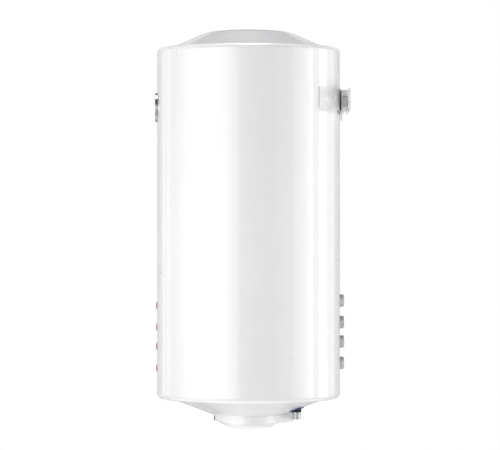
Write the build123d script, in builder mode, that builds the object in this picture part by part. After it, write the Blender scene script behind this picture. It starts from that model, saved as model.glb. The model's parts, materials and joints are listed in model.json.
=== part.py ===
from build123d import *
import os
from math import cos, radians, sin, sqrt, tan

# Wall-hung tank water heater with two heat-exchanger coils and an electric element.
# Millimetres. +Z is up, the wall is the plane Y = 0 behind the heater, and the heater faces -Y.
# The origin is the centre of the wall plate's two slots, on the plate's wall face.
# Heights are given above the drum's bottom rim, and radii from the tank's vertical axis.

os.makedirs("parts", exist_ok=True)

# ---- driving dimensions ----
WALL_TO_AXIS = 242.0
PLATE_HEIGHT = 716.0
CLEARANCE = 0.3

DRUM_R = 220.0
DRUM_HEIGHT = 841.0
DRUM_SHEET = 1.0
RIM_ROUND = 11.0
RIM_MOUTH_R = 192.0

CAP_WALL = 2.0
CAP_R = 190.6
CAP_SKIRT = 14.0
CROWN_R = 105.0
CROWN_TOP = 886.0
CROWN_CURVE = 690.0
SHOULDER_ROUND = 60.0
DISH_SLOPE = 20.5
DISH_FLAT_R = 88.0
DISH_OPENING_R = 60.0
DISH_ROUND = 6.0

TANK_R = 193.0
TANK_WALL = 2.0
SHELL_BOTTOM = 52.0
SHELL_TOP = 788.0
HEAD_CURVE = 420.0
KNUCKLE_R = 25.0
HEAD_SKIRT = 17.0

COIL_R = 150.0
COIL_TUBE_R = 10.0
COIL_PITCH = 26.0
POCKET_R = 7.0
COIL_BOTTOMS = {"lower_coil": 70.0, "upper_coil": 169.0}
PORT_TILT = 8.0
REAR_PORT_ANGLE = 90.0 + PORT_TILT
FRONT_PORT_ANGLE = 270.0 - PORT_TILT

SOCKET_R = 15.2
SOCKET_THREAD_R = 12.06
SOCKET_THREAD_LENGTH = 18.0
SOCKET_STANDS_OUT = 11.8
FRONT_SOCKET_R = 13.5
FRONT_SOCKET_BORE_R = 9.5
PLUG_HEAD_R = 11.0
PLUG_HEAD_HEIGHT = 4.3

PIPE_R = 10.48
PIPE_BORE_R = 7.5
PIPE_X = 50.0
PIPE_Y = 115.0
PIPE_END = -48.2
COLD_PIPE_TOP = 100.0
HOT_PIPE_TOP = 800.0

FLANGE_R = 62.0
FLANGE_OPENING_R = 44.0
FLANGE_FACE = -18.0
STUD_CIRCLE_R = 53.0
STUD_COUNT = 6

COVER_R = 82.0
COVER_WALL = 2.5
COVER_ARM_HALF = 30.0
KNOB_Y = -16.0
SWITCH_HEIGHT = -48.4

STRAP_HALF_ANGLE = 41.0
STRAP_HEIGHT = 51.0
STRAP_THICKNESS = 2.0
PLATE_THICKNESS = 2.5
SLOT_SPACING = 200.0
SLOT_LENGTH = 30.0
SLOT_WIDTH = 12.0

THERMOMETER_HEIGHT = 699.0
THERMOMETER_R = 35.0

# ---- reference planes ----
TANK_FOOT = (0, -WALL_TO_AXIS, -PLATE_HEIGHT)
TANK_AXIS = Axis(TANK_FOOT, (0, 0, 1))
# sketch coordinates (radius, height)
PROFILE = Plane(TANK_FOOT, x_dir=(1, 0, 0), z_dir=(0, -1, 0))
# sketch coordinates (distance behind the tank's axis, height)
SIDE = Plane(TANK_FOOT, x_dir=(0, 1, 0), z_dir=(1, 0, 0))


def level(height, x=0.0, y=0.0):
    """Horizontal plane at a height, with its centre at (x, y) from the tank's axis."""
    return Plane((x, y - WALL_TO_AXIS, height - PLATE_HEIGHT))


def radial(angle, height, radius):
    """Upright plane that faces away from the tank's axis, at a distance from it."""
    outward = (cos(radians(angle)), sin(radians(angle)), 0)
    place = (
        radius * outward[0],
        radius * outward[1] - WALL_TO_AXIS,
        height - PLATE_HEIGHT,
    )
    return Plane(place, x_dir=(0, 0, 1), z_dir=outward)


def front_plane(distance, height, x=0.0):
    """Upright plane that faces -Y, a distance in front of the tank's axis."""
    place = (x, -WALL_TO_AXIS - distance, height - PLATE_HEIGHT)
    return Plane(place, x_dir=(1, 0, 0), z_dir=(0, -1, 0))


def save(piece, node):
    """Label a finished piece with its node name and write it."""
    piece.label = node
    export_step(piece, f"parts/{node}.step")


def bent_sheet(outline, corner, thickness, side):
    """Sheet of revolution about the tank's axis, from an open outline with rounded corners."""
    with BuildPart() as sheet:
        with BuildSketch(PROFILE):
            with BuildLine():
                FilletPolyline(*outline, radius=corner)
                offset(amount=thickness, side=side)
            make_face()
        revolve(axis=TANK_AXIS)
    return sheet.part


def domed_sheet(crown_height, crown_radius, crown_curve, rim_points, corner, thickness):
    """Dome of revolution: a shallow crown, a rounded shoulder, then the rim points, open below."""
    crown_sag = crown_curve - sqrt(crown_curve**2 - crown_radius**2)
    shoulder = (crown_radius, crown_height - crown_sag)
    foot = (0, rim_points[-1][1])
    with BuildPart() as dome:
        with BuildSketch(PROFILE):
            with BuildLine():
                RadiusArc((0, crown_height), shoulder, crown_curve)
                Polyline(shoulder, *rim_points, foot, (0, crown_height))
            make_face()
        revolve(axis=TANK_AXIS)
        rings = dome.edges().filter_by(lambda edge: edge.is_closed)
        fillet(rings.group_by(Axis.Z)[-1], corner)
        offset(amount=-thickness, openings=dome.faces().sort_by(Axis.Z)[0])
    return dome.part


def turned(plane, outline):
    """Solid turned about a plane's normal; the outline holds (distance along it, radius)."""
    across = Plane(plane.origin, x_dir=plane.z_dir, z_dir=plane.x_dir)
    with BuildPart() as piece:
        with BuildSketch(across):
            Polygon(*outline, align=None)
        revolve(axis=Axis(plane.origin, plane.z_dir))
    return piece.part


def save_group(pieces, node):
    """Write several separate solids as one node."""
    with BuildPart() as group:
        add(pieces)
    save(group.part, node)


# ---- coil geometry: each coil climbs clockwise from the front to the back ----
HALF_TURN_RISE = COIL_PITCH * (FRONT_PORT_ANGLE - REAR_PORT_ANGLE) / 360
WHOLE_TURNS = 2
COIL_RISE = WHOLE_TURNS * COIL_PITCH + HALF_TURN_RISE
FRONT_PORT_HEIGHTS = [
    bottom + turn * COIL_PITCH for bottom in COIL_BOTTOMS.values() for turn in (0, WHOLE_TURNS)
]
REAR_PORT_HEIGHTS = [height + HALF_TURN_RISE for height in FRONT_PORT_HEIGHTS]
STUB_END_R = TANK_R + 4.0
SOCKET_FACE_R = DRUM_R + SOCKET_STANDS_OUT
SOCKET_ROOT_R = TANK_R + CLEARANCE

# ---- outer casing ----
drum_sheet = bent_sheet(
    [(RIM_MOUTH_R, 0), (DRUM_R, 0), (DRUM_R, DRUM_HEIGHT), (RIM_MOUTH_R, DRUM_HEIGHT)],
    RIM_ROUND,
    DRUM_SHEET,
    Side.LEFT,
)
RIVET_ANGLES = (90 - 34, 90 - 22, 90 + 22, 90 + 34)
RIVET_R = 3.0
STRAP_MID_HEIGHT = PLATE_HEIGHT + 1.0
THERMOMETER_HOLE_R = 31.0
WALL_DEPTH = 30.0

with BuildPart() as outer_casing:
    add(drum_sheet)
    for height in REAR_PORT_HEIGHTS:
        with BuildSketch(radial(REAR_PORT_ANGLE, height, DRUM_R + WALL_DEPTH)):
            Circle(SOCKET_R + CLEARANCE)
        extrude(amount=-2 * WALL_DEPTH, mode=Mode.SUBTRACT)
    for height in FRONT_PORT_HEIGHTS:
        with BuildSketch(radial(FRONT_PORT_ANGLE, height, DRUM_R + WALL_DEPTH)):
            Circle(FRONT_SOCKET_BORE_R)
        extrude(amount=-2 * WALL_DEPTH, mode=Mode.SUBTRACT)
    for angle in RIVET_ANGLES:
        with BuildSketch(radial(angle, STRAP_MID_HEIGHT, DRUM_R + WALL_DEPTH)):
            Circle(RIVET_R + CLEARANCE)
        extrude(amount=-2 * WALL_DEPTH, mode=Mode.SUBTRACT)
    with BuildSketch(front_plane(DRUM_R + WALL_DEPTH, THERMOMETER_HEIGHT)):
        Circle(THERMOMETER_HOLE_R)
    extrude(amount=-2 * WALL_DEPTH, mode=Mode.SUBTRACT)
save(outer_casing.part, "outer_casing")

# ---- caps ----
save(
    domed_sheet(
        CROWN_TOP,
        CROWN_R,
        CROWN_CURVE,
        [(CAP_R, DRUM_HEIGHT), (CAP_R, DRUM_HEIGHT - CAP_SKIRT)],
        SHOULDER_ROUND,
        CAP_WALL,
    ),
    "top_cap",
)

DISH_FLAT_HEIGHT = -(CAP_R - DISH_FLAT_R) * tan(radians(DISH_SLOPE))
dish_sheet = bent_sheet(
    [
        (CAP_R, CAP_SKIRT),
        (CAP_R, 0),
        (DISH_FLAT_R, DISH_FLAT_HEIGHT),
        (DISH_OPENING_R, DISH_FLAT_HEIGHT),
    ],
    DISH_ROUND,
    CAP_WALL,
    Side.RIGHT,
)
PIPE_SLEEVE_R = 11.3

with BuildPart() as bottom_cap:
    add(dish_sheet)
    for side in (-1, 1):
        with BuildSketch(level(PIPE_END, side * PIPE_X, PIPE_Y)):
            Circle(PIPE_SLEEVE_R + CLEARANCE)
        extrude(amount=-PIPE_END, mode=Mode.SUBTRACT)
save(bottom_cap.part, "bottom_cap")

# ---- tank ----
with BuildPart() as tank_shell:
    with BuildSketch(level(SHELL_BOTTOM)):
        Circle(TANK_R)
        Circle(TANK_R - TANK_WALL, mode=Mode.SUBTRACT)
    extrude(amount=SHELL_TOP - SHELL_BOTTOM)
    for angle, heights in ((REAR_PORT_ANGLE, REAR_PORT_HEIGHTS), (FRONT_PORT_ANGLE, FRONT_PORT_HEIGHTS)):
        for height in heights:
            with BuildSketch(radial(angle, height, TANK_R + WALL_DEPTH)):
                Circle(COIL_TUBE_R + CLEARANCE)
            extrude(amount=-2 * WALL_DEPTH, mode=Mode.SUBTRACT)
    with BuildSketch(front_plane(TANK_R + WALL_DEPTH, THERMOMETER_HEIGHT)):
        Circle(POCKET_R)
    extrude(amount=-2 * WALL_DEPTH, mode=Mode.SUBTRACT)
save(tank_shell.part, "tank_shell")

HEAD_RISE = HEAD_CURVE - sqrt(HEAD_CURVE**2 - TANK_R**2)
TANK_TOP = SHELL_TOP + HEAD_SKIRT + HEAD_RISE
TANK_BOTTOM = SHELL_BOTTOM - HEAD_SKIRT - HEAD_RISE
head_sheet = domed_sheet(TANK_TOP, TANK_R, HEAD_CURVE, [(TANK_R, SHELL_TOP)], KNUCKLE_R, TANK_WALL)
save(head_sheet, "tank_top_head")
lower_head_sheet = mirror(head_sheet, about=level((SHELL_TOP + SHELL_BOTTOM) / 2), mode=Mode.PRIVATE)

with BuildPart() as tank_bottom_head:
    add(lower_head_sheet)
    with BuildSketch(level(TANK_BOTTOM - HEAD_RISE)):
        Circle(FLANGE_R + CLEARANCE)
    extrude(amount=2 * HEAD_RISE, mode=Mode.SUBTRACT)
    for side in (-1, 1):
        with BuildSketch(level(TANK_BOTTOM - HEAD_RISE, side * PIPE_X, PIPE_Y)):
            Circle(PIPE_R + CLEARANCE)
        extrude(amount=2 * HEAD_RISE, mode=Mode.SUBTRACT)
save(tank_bottom_head.part, "tank_bottom_head")

# ---- cleaning flange ----
RING_THICKNESS = 14.0
GASKET_THICKNESS = 2.0
FLANGE_PLATE_THICKNESS = 4.0
STUD_R = 4.0
STUD_HOLE_R = 4.5
STUD_INSET = 10.0
STUD_END = -34.0
NUT_ACROSS_FLATS = 13.0
NUT_THICKNESS = 6.5
GASKET_FACE = FLANGE_FACE - GASKET_THICKNESS
PLATE_FACE = GASKET_FACE - FLANGE_PLATE_THICKNESS
ELEMENT_LEG_X = 14.0
ELEMENT_Y = 20.0
ELEMENT_TUBE_R = 4.25
ELEMENT_TOP = 340.0
FERRULE_R = 7.0
ANODE_X = 16.0
ANODE_Y = -24.0
ANODE_R = 11.0
ANODE_STEM_R = 4.0
ANODE_TOP = 330.0
POCKET_X = -13.0
POCKET_Y = -20.0
SENSOR_POCKET_R = 6.0
SENSOR_POCKET_BORE_R = 4.6
SENSOR_POCKET_TOP = 260.0
EARTH_X = 36.0
EARTH_Y = 4.0
EARTH_R = 2.5

with BuildPart() as flange_ring:
    with BuildSketch(level(FLANGE_FACE)):
        Circle(FLANGE_R)
        Circle(FLANGE_OPENING_R, mode=Mode.SUBTRACT)
    extrude(amount=RING_THICKNESS)
    with BuildSketch(level(FLANGE_FACE)):
        with PolarLocations(STUD_CIRCLE_R, STUD_COUNT):
            Circle(STUD_R)
    extrude(amount=STUD_INSET, mode=Mode.SUBTRACT)
save(flange_ring.part, "flange_ring")

with BuildPart() as flange_gasket:
    with BuildSketch(level(GASKET_FACE)):
        Circle(FLANGE_R)
        Circle(FLANGE_OPENING_R, mode=Mode.SUBTRACT)
        with PolarLocations(STUD_CIRCLE_R, STUD_COUNT):
            Circle(STUD_HOLE_R, mode=Mode.SUBTRACT)
    extrude(amount=GASKET_THICKNESS)
save(flange_gasket.part, "flange_gasket")

with BuildPart() as flange_plate:
    with BuildSketch(level(PLATE_FACE)):
        Circle(FLANGE_R)
        with PolarLocations(STUD_CIRCLE_R, STUD_COUNT):
            Circle(STUD_HOLE_R, mode=Mode.SUBTRACT)
        with Locations((-ELEMENT_LEG_X, ELEMENT_Y), (ELEMENT_LEG_X, ELEMENT_Y)):
            Circle(FERRULE_R, mode=Mode.SUBTRACT)
        with Locations((ANODE_X, ANODE_Y)):
            Circle(ANODE_STEM_R + CLEARANCE, mode=Mode.SUBTRACT)
        with Locations((POCKET_X, POCKET_Y)):
            Circle(SENSOR_POCKET_R, mode=Mode.SUBTRACT)
        with Locations((EARTH_X, EARTH_Y)):
            Circle(EARTH_R, mode=Mode.SUBTRACT)
    extrude(amount=FLANGE_PLATE_THICKNESS)
save(flange_plate.part, "flange_plate")

with BuildPart() as flange_studs:
    with BuildSketch(level(STUD_END)):
        with PolarLocations(STUD_CIRCLE_R, STUD_COUNT):
            Circle(STUD_R)
    extrude(amount=FLANGE_FACE + STUD_INSET - STUD_END)
save(flange_studs.part, "flange_studs")

with BuildPart() as flange_nuts:
    with BuildSketch(level(PLATE_FACE - NUT_THICKNESS)):
        with PolarLocations(STUD_CIRCLE_R, STUD_COUNT):
            RegularPolygon(NUT_ACROSS_FLATS / 2, 6, major_radius=False)
            Circle(STUD_R, mode=Mode.SUBTRACT)
    extrude(amount=NUT_THICKNESS)
save(flange_nuts.part, "flange_nuts")

# ---- what the flange carries inside the tank ----
ELEMENT_TAIL = -28.0
with BuildPart() as heating_element:
    with BuildLine() as hairpin:
        Polyline(
            (-ELEMENT_LEG_X, ELEMENT_Y - WALL_TO_AXIS, ELEMENT_TAIL - PLATE_HEIGHT),
            (-ELEMENT_LEG_X, ELEMENT_Y - WALL_TO_AXIS, ELEMENT_TOP - PLATE_HEIGHT),
        )
        ThreePointArc(
            (-ELEMENT_LEG_X, ELEMENT_Y - WALL_TO_AXIS, ELEMENT_TOP - PLATE_HEIGHT),
            (0, ELEMENT_Y - WALL_TO_AXIS, ELEMENT_TOP + ELEMENT_LEG_X - PLATE_HEIGHT),
            (ELEMENT_LEG_X, ELEMENT_Y - WALL_TO_AXIS, ELEMENT_TOP - PLATE_HEIGHT),
        )
        Polyline(
            (ELEMENT_LEG_X, ELEMENT_Y - WALL_TO_AXIS, ELEMENT_TOP - PLATE_HEIGHT),
            (ELEMENT_LEG_X, ELEMENT_Y - WALL_TO_AXIS, ELEMENT_TAIL - PLATE_HEIGHT),
        )
    with BuildSketch(level(ELEMENT_TAIL, -ELEMENT_LEG_X, ELEMENT_Y)):
        Circle(ELEMENT_TUBE_R)
    sweep(path=hairpin.line)
save(heating_element.part, "heating_element")

FERRULE_FLANGE_R = 9.0
FERRULE_FLANGE_THICKNESS = 2.0
with BuildPart() as element_ferrules:
    with BuildSketch(level(PLATE_FACE - FERRULE_FLANGE_THICKNESS)):
        with Locations((-ELEMENT_LEG_X, ELEMENT_Y), (ELEMENT_LEG_X, ELEMENT_Y)):
            Circle(FERRULE_FLANGE_R)
    extrude(amount=FERRULE_FLANGE_THICKNESS)
    with BuildSketch(level(PLATE_FACE)):
        with Locations((-ELEMENT_LEG_X, ELEMENT_Y), (ELEMENT_LEG_X, ELEMENT_Y)):
            Circle(FERRULE_R)
    extrude(amount=FLANGE_PLATE_THICKNESS)
    with BuildSketch(level(PLATE_FACE - FERRULE_FLANGE_THICKNESS)):
        with Locations((-ELEMENT_LEG_X, ELEMENT_Y), (ELEMENT_LEG_X, ELEMENT_Y)):
            Circle(ELEMENT_TUBE_R)
    extrude(amount=FLANGE_PLATE_THICKNESS + FERRULE_FLANGE_THICKNESS, mode=Mode.SUBTRACT)
save(element_ferrules.part, "element_ferrules")

TERMINAL_PIN_R = 1.6
TERMINAL_LENGTH = 7.0
with BuildPart() as element_terminals:
    with BuildSketch(level(ELEMENT_TAIL - TERMINAL_LENGTH)):
        with Locations((-ELEMENT_LEG_X, ELEMENT_Y), (ELEMENT_LEG_X, ELEMENT_Y)):
            Circle(TERMINAL_PIN_R)
    extrude(amount=TERMINAL_LENGTH)
save(element_terminals.part, "element_terminals")

ANODE_BOTTOM = 10.0
ANODE_STEM_END = -36.0
with BuildPart() as anode_rod:
    with BuildSketch(level(ANODE_BOTTOM, ANODE_X, ANODE_Y)):
        Circle(ANODE_R)
    extrude(amount=ANODE_TOP - ANODE_BOTTOM)
    with BuildSketch(level(ANODE_STEM_END, ANODE_X, ANODE_Y)):
        Circle(ANODE_STEM_R)
    extrude(amount=ANODE_BOTTOM - ANODE_STEM_END)
save(anode_rod.part, "anode_rod")

with BuildPart() as anode_nut:
    with BuildSketch(level(PLATE_FACE - NUT_THICKNESS, ANODE_X, ANODE_Y)):
        RegularPolygon(NUT_ACROSS_FLATS / 2, 6, major_radius=False)
        Circle(ANODE_STEM_R, mode=Mode.SUBTRACT)
    extrude(amount=NUT_THICKNESS)
save(anode_nut.part, "anode_nut")

SENSOR_POCKET_END = -27.0
SENSOR_POCKET_CROWN = 2.0
with BuildPart() as sensor_pocket:
    with BuildSketch(level(SENSOR_POCKET_END, POCKET_X, POCKET_Y)):
        Circle(SENSOR_POCKET_R)
    extrude(amount=SENSOR_POCKET_TOP - SENSOR_POCKET_END)
    with BuildSketch(level(SENSOR_POCKET_END, POCKET_X, POCKET_Y)):
        Circle(SENSOR_POCKET_BORE_R)
    extrude(amount=SENSOR_POCKET_TOP - SENSOR_POCKET_CROWN - SENSOR_POCKET_END, mode=Mode.SUBTRACT)
save(sensor_pocket.part, "sensor_pocket")

SENSOR_BULB_R = 4.0
SENSOR_BULB_BOTTOM = 120.0
SENSOR_BULB_TOP = 240.0
CAPILLARY_R = 0.8
THERMOSTAT_TOP = -39.0
with BuildPart() as sensor_bulb:
    with BuildSketch(level(SENSOR_BULB_BOTTOM, POCKET_X, POCKET_Y)):
        Circle(SENSOR_BULB_R)
    extrude(amount=SENSOR_BULB_TOP - SENSOR_BULB_BOTTOM)
    with BuildSketch(level(THERMOSTAT_TOP, POCKET_X, POCKET_Y)):
        Circle(CAPILLARY_R)
    extrude(amount=SENSOR_BULB_BOTTOM - THERMOSTAT_TOP)
save(sensor_bulb.part, "sensor_bulb")

EARTH_END = -35.0
with BuildPart() as earth_bolt:
    with BuildSketch(level(EARTH_END, EARTH_X, EARTH_Y)):
        Circle(EARTH_R)
    extrude(amount=GASKET_FACE - EARTH_END)
    with BuildSketch(level(PLATE_FACE - STUD_R, EARTH_X, EARTH_Y)):
        RegularPolygon(STUD_R, 6, major_radius=False)
    extrude(amount=STUD_R)
save(earth_bolt.part, "earth_bolt")

# ---- heat-exchanger coils ----
for node, coil_bottom in COIL_BOTTOMS.items():
    with BuildPart() as coil:
        with BuildLine(level(coil_bottom)) as route:
            Helix(COIL_PITCH, COIL_RISE, COIL_R, lefthand=True)
        start = Plane(route.line @ 0, z_dir=route.line % 0)
        with BuildSketch(start):
            Circle(COIL_TUBE_R)
        sweep(path=route.line, is_frenet=True)
    coil_part = coil.part.rotate(TANK_AXIS, FRONT_PORT_ANGLE)
    with BuildPart() as branched_coil:
        add(coil_part)
        for turn in (0, WHOLE_TURNS):
            front_height = coil_bottom + turn * COIL_PITCH
            for angle, height in (
                (FRONT_PORT_ANGLE, front_height),
                (REAR_PORT_ANGLE, front_height + HALF_TURN_RISE),
            ):
                with BuildSketch(radial(angle, height, COIL_R)):
                    Circle(COIL_TUBE_R)
                extrude(amount=STUB_END_R - COIL_R)
    save(branched_coil.part, node)

# ---- heat-exchanger sockets and plugs ----
THREAD_CHAMFER = 0.6
STUB_BORE_R = COIL_TUBE_R + 0.1
SOCKET_LENGTH = SOCKET_FACE_R - SOCKET_ROOT_R
REAR_SOCKET_OUTLINE = [
    (0, SOCKET_THREAD_R + THREAD_CHAMFER),
    (0, SOCKET_R - THREAD_CHAMFER),
    (-THREAD_CHAMFER, SOCKET_R),
    (-SOCKET_LENGTH, SOCKET_R),
    (-SOCKET_LENGTH, STUB_BORE_R),
    (-SOCKET_THREAD_LENGTH, STUB_BORE_R),
    (-SOCKET_THREAD_LENGTH, SOCKET_THREAD_R),
    (-THREAD_CHAMFER, SOCKET_THREAD_R),
]
save_group(
    [turned(radial(REAR_PORT_ANGLE, z, SOCKET_FACE_R), REAR_SOCKET_OUTLINE) for z in REAR_PORT_HEIGHTS],
    "rear_port_sockets",
)

FRONT_SOCKET_FACE_R = DRUM_R - DRUM_SHEET - 1.0
FRONT_SOCKET_LENGTH = FRONT_SOCKET_FACE_R - SOCKET_ROOT_R
PLUG_THREAD_LENGTH = 14.0
FRONT_SOCKET_OUTLINE = [
    (0, FRONT_SOCKET_BORE_R),
    (0, FRONT_SOCKET_R),
    (-FRONT_SOCKET_LENGTH, FRONT_SOCKET_R),
    (-FRONT_SOCKET_LENGTH, STUB_BORE_R),
    (-PLUG_THREAD_LENGTH, STUB_BORE_R),
    (-PLUG_THREAD_LENGTH, FRONT_SOCKET_BORE_R),
]
save_group(
    [
        turned(radial(FRONT_PORT_ANGLE, z, FRONT_SOCKET_FACE_R), FRONT_SOCKET_OUTLINE)
        for z in FRONT_PORT_HEIGHTS
    ],
    "front_port_sockets",
)

PLUG_STEM_R = FRONT_SOCKET_BORE_R - 0.2
PLUG_SEAT = 0.1
PLUG_BEVEL = 1.8
PLUG_OUTLINE = [
    (-PLUG_THREAD_LENGTH, 0),
    (-PLUG_THREAD_LENGTH, PLUG_STEM_R),
    (PLUG_SEAT, PLUG_STEM_R),
    (PLUG_SEAT, PLUG_HEAD_R),
    (PLUG_HEAD_HEIGHT - PLUG_BEVEL, PLUG_HEAD_R),
    (PLUG_HEAD_HEIGHT, PLUG_HEAD_R - PLUG_BEVEL),
    (PLUG_HEAD_HEIGHT, 0),
]
save_group(
    [turned(radial(FRONT_PORT_ANGLE, z, DRUM_R), PLUG_OUTLINE) for z in FRONT_PORT_HEIGHTS],
    "front_port_plugs",
)

# ---- water pipes ----
NIPPLE_LENGTH = 17.0
NIPPLE_CHAMFER = 0.5
PIPE_SHANK_R = 10.0


def water_pipe(side, top):
    """Pipe with an outside thread at its lower end, and a plain shank up into the tank."""
    length = top - PIPE_END
    outline = [
        (0, PIPE_BORE_R),
        (0, PIPE_R - NIPPLE_CHAMFER),
        (NIPPLE_CHAMFER, PIPE_R),
        (NIPPLE_LENGTH, PIPE_R),
        (NIPPLE_LENGTH, PIPE_SHANK_R),
        (length, PIPE_SHANK_R),
        (length, PIPE_BORE_R),
    ]
    return turned(level(PIPE_END, side * PIPE_X, PIPE_Y), outline)


save(water_pipe(1, COLD_PIPE_TOP), "cold_inlet_pipe")
save(water_pipe(-1, HOT_PIPE_TOP), "hot_outlet_pipe")

DIFFUSER_R = 12.0
DIFFUSER_OVERLAP = 10.0
DIFFUSER_HEIGHT = 26.0
DIFFUSER_WINDOW = 8.0
DIFFUSER_WINDOW_HEIGHT = COLD_PIPE_TOP + 6.0
with BuildPart() as inlet_diffuser:
    with BuildSketch(level(COLD_PIPE_TOP - DIFFUSER_OVERLAP, PIPE_X, PIPE_Y)):
        Circle(DIFFUSER_R)
    extrude(amount=DIFFUSER_HEIGHT)
    with BuildSketch(level(COLD_PIPE_TOP - DIFFUSER_OVERLAP, PIPE_X, PIPE_Y)):
        Circle(PIPE_SHANK_R)
    extrude(amount=DIFFUSER_HEIGHT - CAP_WALL, mode=Mode.SUBTRACT)
    for direction in ((1, 0, 0), (0, 1, 0)):
        place = (PIPE_X, PIPE_Y - WALL_TO_AXIS, DIFFUSER_WINDOW_HEIGHT - PLATE_HEIGHT)
        with BuildSketch(Plane(place, x_dir=(0, 0, 1), z_dir=direction)):
            Rectangle(DIFFUSER_WINDOW, DIFFUSER_WINDOW)
        extrude(amount=DIFFUSER_R, both=True, mode=Mode.SUBTRACT)
save(inlet_diffuser.part, "inlet_diffuser")

SLEEVE_BOTTOM = PIPE_END + NIPPLE_LENGTH
SLEEVE_LENGTH = 10.0
SLEEVE_OUTLINE = [
    (0, PIPE_SHANK_R),
    (0, PIPE_SLEEVE_R),
    (SLEEVE_LENGTH, PIPE_SLEEVE_R),
    (SLEEVE_LENGTH, PIPE_SHANK_R),
]
save_group(
    [turned(level(SLEEVE_BOTTOM, side * PIPE_X, PIPE_Y), SLEEVE_OUTLINE) for side in (-1, 1)],
    "pipe_sleeves",
)

PIPE_RING_R = 18.0
PIPE_RING_BORE_R = 13.4
PIPE_RING_THICKNESS = 2.0
PIPE_RADIUS = sqrt(PIPE_X**2 + PIPE_Y**2)
DISH_TILT = radians(DISH_SLOPE)
for side, node in ((1, "cold_pipe_ring"), (-1, "hot_pipe_ring")):
    dish_normal = Vector(
        sin(DISH_TILT) * side * PIPE_X / PIPE_RADIUS,
        sin(DISH_TILT) * PIPE_Y / PIPE_RADIUS,
        -cos(DISH_TILT),
    )
    dish_point = Vector(
        side * PIPE_X,
        PIPE_Y - WALL_TO_AXIS,
        -(CAP_R - PIPE_RADIUS) * tan(DISH_TILT) - PLATE_HEIGHT,
    )
    with BuildPart() as pipe_ring:
        with BuildSketch(Plane(dish_point + dish_normal * PLUG_SEAT, z_dir=dish_normal)):
            Circle(PIPE_RING_R)
            Circle(PIPE_RING_BORE_R, mode=Mode.SUBTRACT)
        extrude(amount=PIPE_RING_THICKNESS)
        fillet(pipe_ring.edges().group_by(SortBy.LENGTH)[-1], NIPPLE_CHAMFER)
    save(pipe_ring.part, node)

# ---- hanger ----
STRAP_BOTTOM = STRAP_MID_HEIGHT - STRAP_HEIGHT / 2
STRAP_INNER_R = DRUM_R + CLEARANCE
STRAP_OUTER_R = STRAP_INNER_R + STRAP_THICKNESS
STRAP_START = 90 - STRAP_HALF_ANGLE
with BuildPart() as hanger_strap:
    with BuildSketch(level(STRAP_BOTTOM)):
        with BuildLine():
            outer = CenterArc((0, 0), STRAP_OUTER_R, STRAP_START, 2 * STRAP_HALF_ANGLE)
            inner = CenterArc((0, 0), STRAP_INNER_R, STRAP_START, 2 * STRAP_HALF_ANGLE)
            Line(outer @ 0, inner @ 0)
            Line(outer @ 1, inner @ 1)
        make_face()
    extrude(amount=STRAP_HEIGHT)
    for angle in RIVET_ANGLES:
        with BuildSketch(radial(angle, STRAP_MID_HEIGHT, DRUM_R + WALL_DEPTH)):
            Circle(RIVET_R + CLEARANCE)
        extrude(amount=-2 * WALL_DEPTH, mode=Mode.SUBTRACT)
save(hanger_strap.part, "hanger_strap")

RIVET_HEAD_R = 6.0
RIVET_HEAD_HEIGHT = 1.6
RIVET_SEAT = CLEARANCE
RIVET_TAIL = STRAP_THICKNESS + DRUM_SHEET + 2 * CLEARANCE
RIVET_OUTLINE = [
    (RIVET_SEAT + RIVET_HEAD_HEIGHT, 0),
    (RIVET_SEAT + RIVET_HEAD_HEIGHT, RIVET_R),
    (RIVET_SEAT, RIVET_HEAD_R),
    (RIVET_SEAT - PLUG_SEAT, RIVET_HEAD_R),
    (RIVET_SEAT - PLUG_SEAT, RIVET_R),
    (-RIVET_TAIL, RIVET_R),
    (-RIVET_TAIL, RIVET_HEAD_R),
    (-RIVET_TAIL - RIVET_HEAD_HEIGHT, RIVET_R),
    (-RIVET_TAIL - RIVET_HEAD_HEIGHT, 0),
]
save_group(
    [turned(radial(angle, STRAP_MID_HEIGHT, STRAP_OUTER_R), RIVET_OUTLINE) for angle in RIVET_ANGLES],
    "strap_rivets",
)

PLATE_WIDTH = 260.0
PLATE_TALL = 57.0
PLATE_CORNER = 8.0
BRACKET_SHEET = 3.0
BRACKET_HALF = 48.0
BRACKET_TOP = 739.0
BRACKET_BASE_Y = STRAP_OUTER_R + 0.1
BRACKET_REAR_Y = WALL_TO_AXIS - PLATE_THICKNESS
BRACKET_BASE_BOTTOM = 680.0
BRACKET_REAR_BOTTOM = 695.5
TONGUE_BOTTOM = 667.0
TONGUE_WIDTH = 30.0
FLANGE_REACH = 24.0
STUD_X = BRACKET_HALF + 15.0
CROSS_BOLT_Y = 230.2
CROSS_BOLT_HEIGHT = 711.0
CROSS_HOLE_R = 3.3

with BuildPart() as wall_plate:
    with BuildSketch(Plane.XZ):
        RectangleRounded(PLATE_WIDTH, PLATE_TALL, PLATE_CORNER)
        with GridLocations(SLOT_SPACING, 0, 2, 1):
            SlotOverall(SLOT_LENGTH, SLOT_WIDTH, mode=Mode.SUBTRACT)
    extrude(amount=PLATE_THICKNESS)
save(wall_plate.part, "wall_plate")

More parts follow.
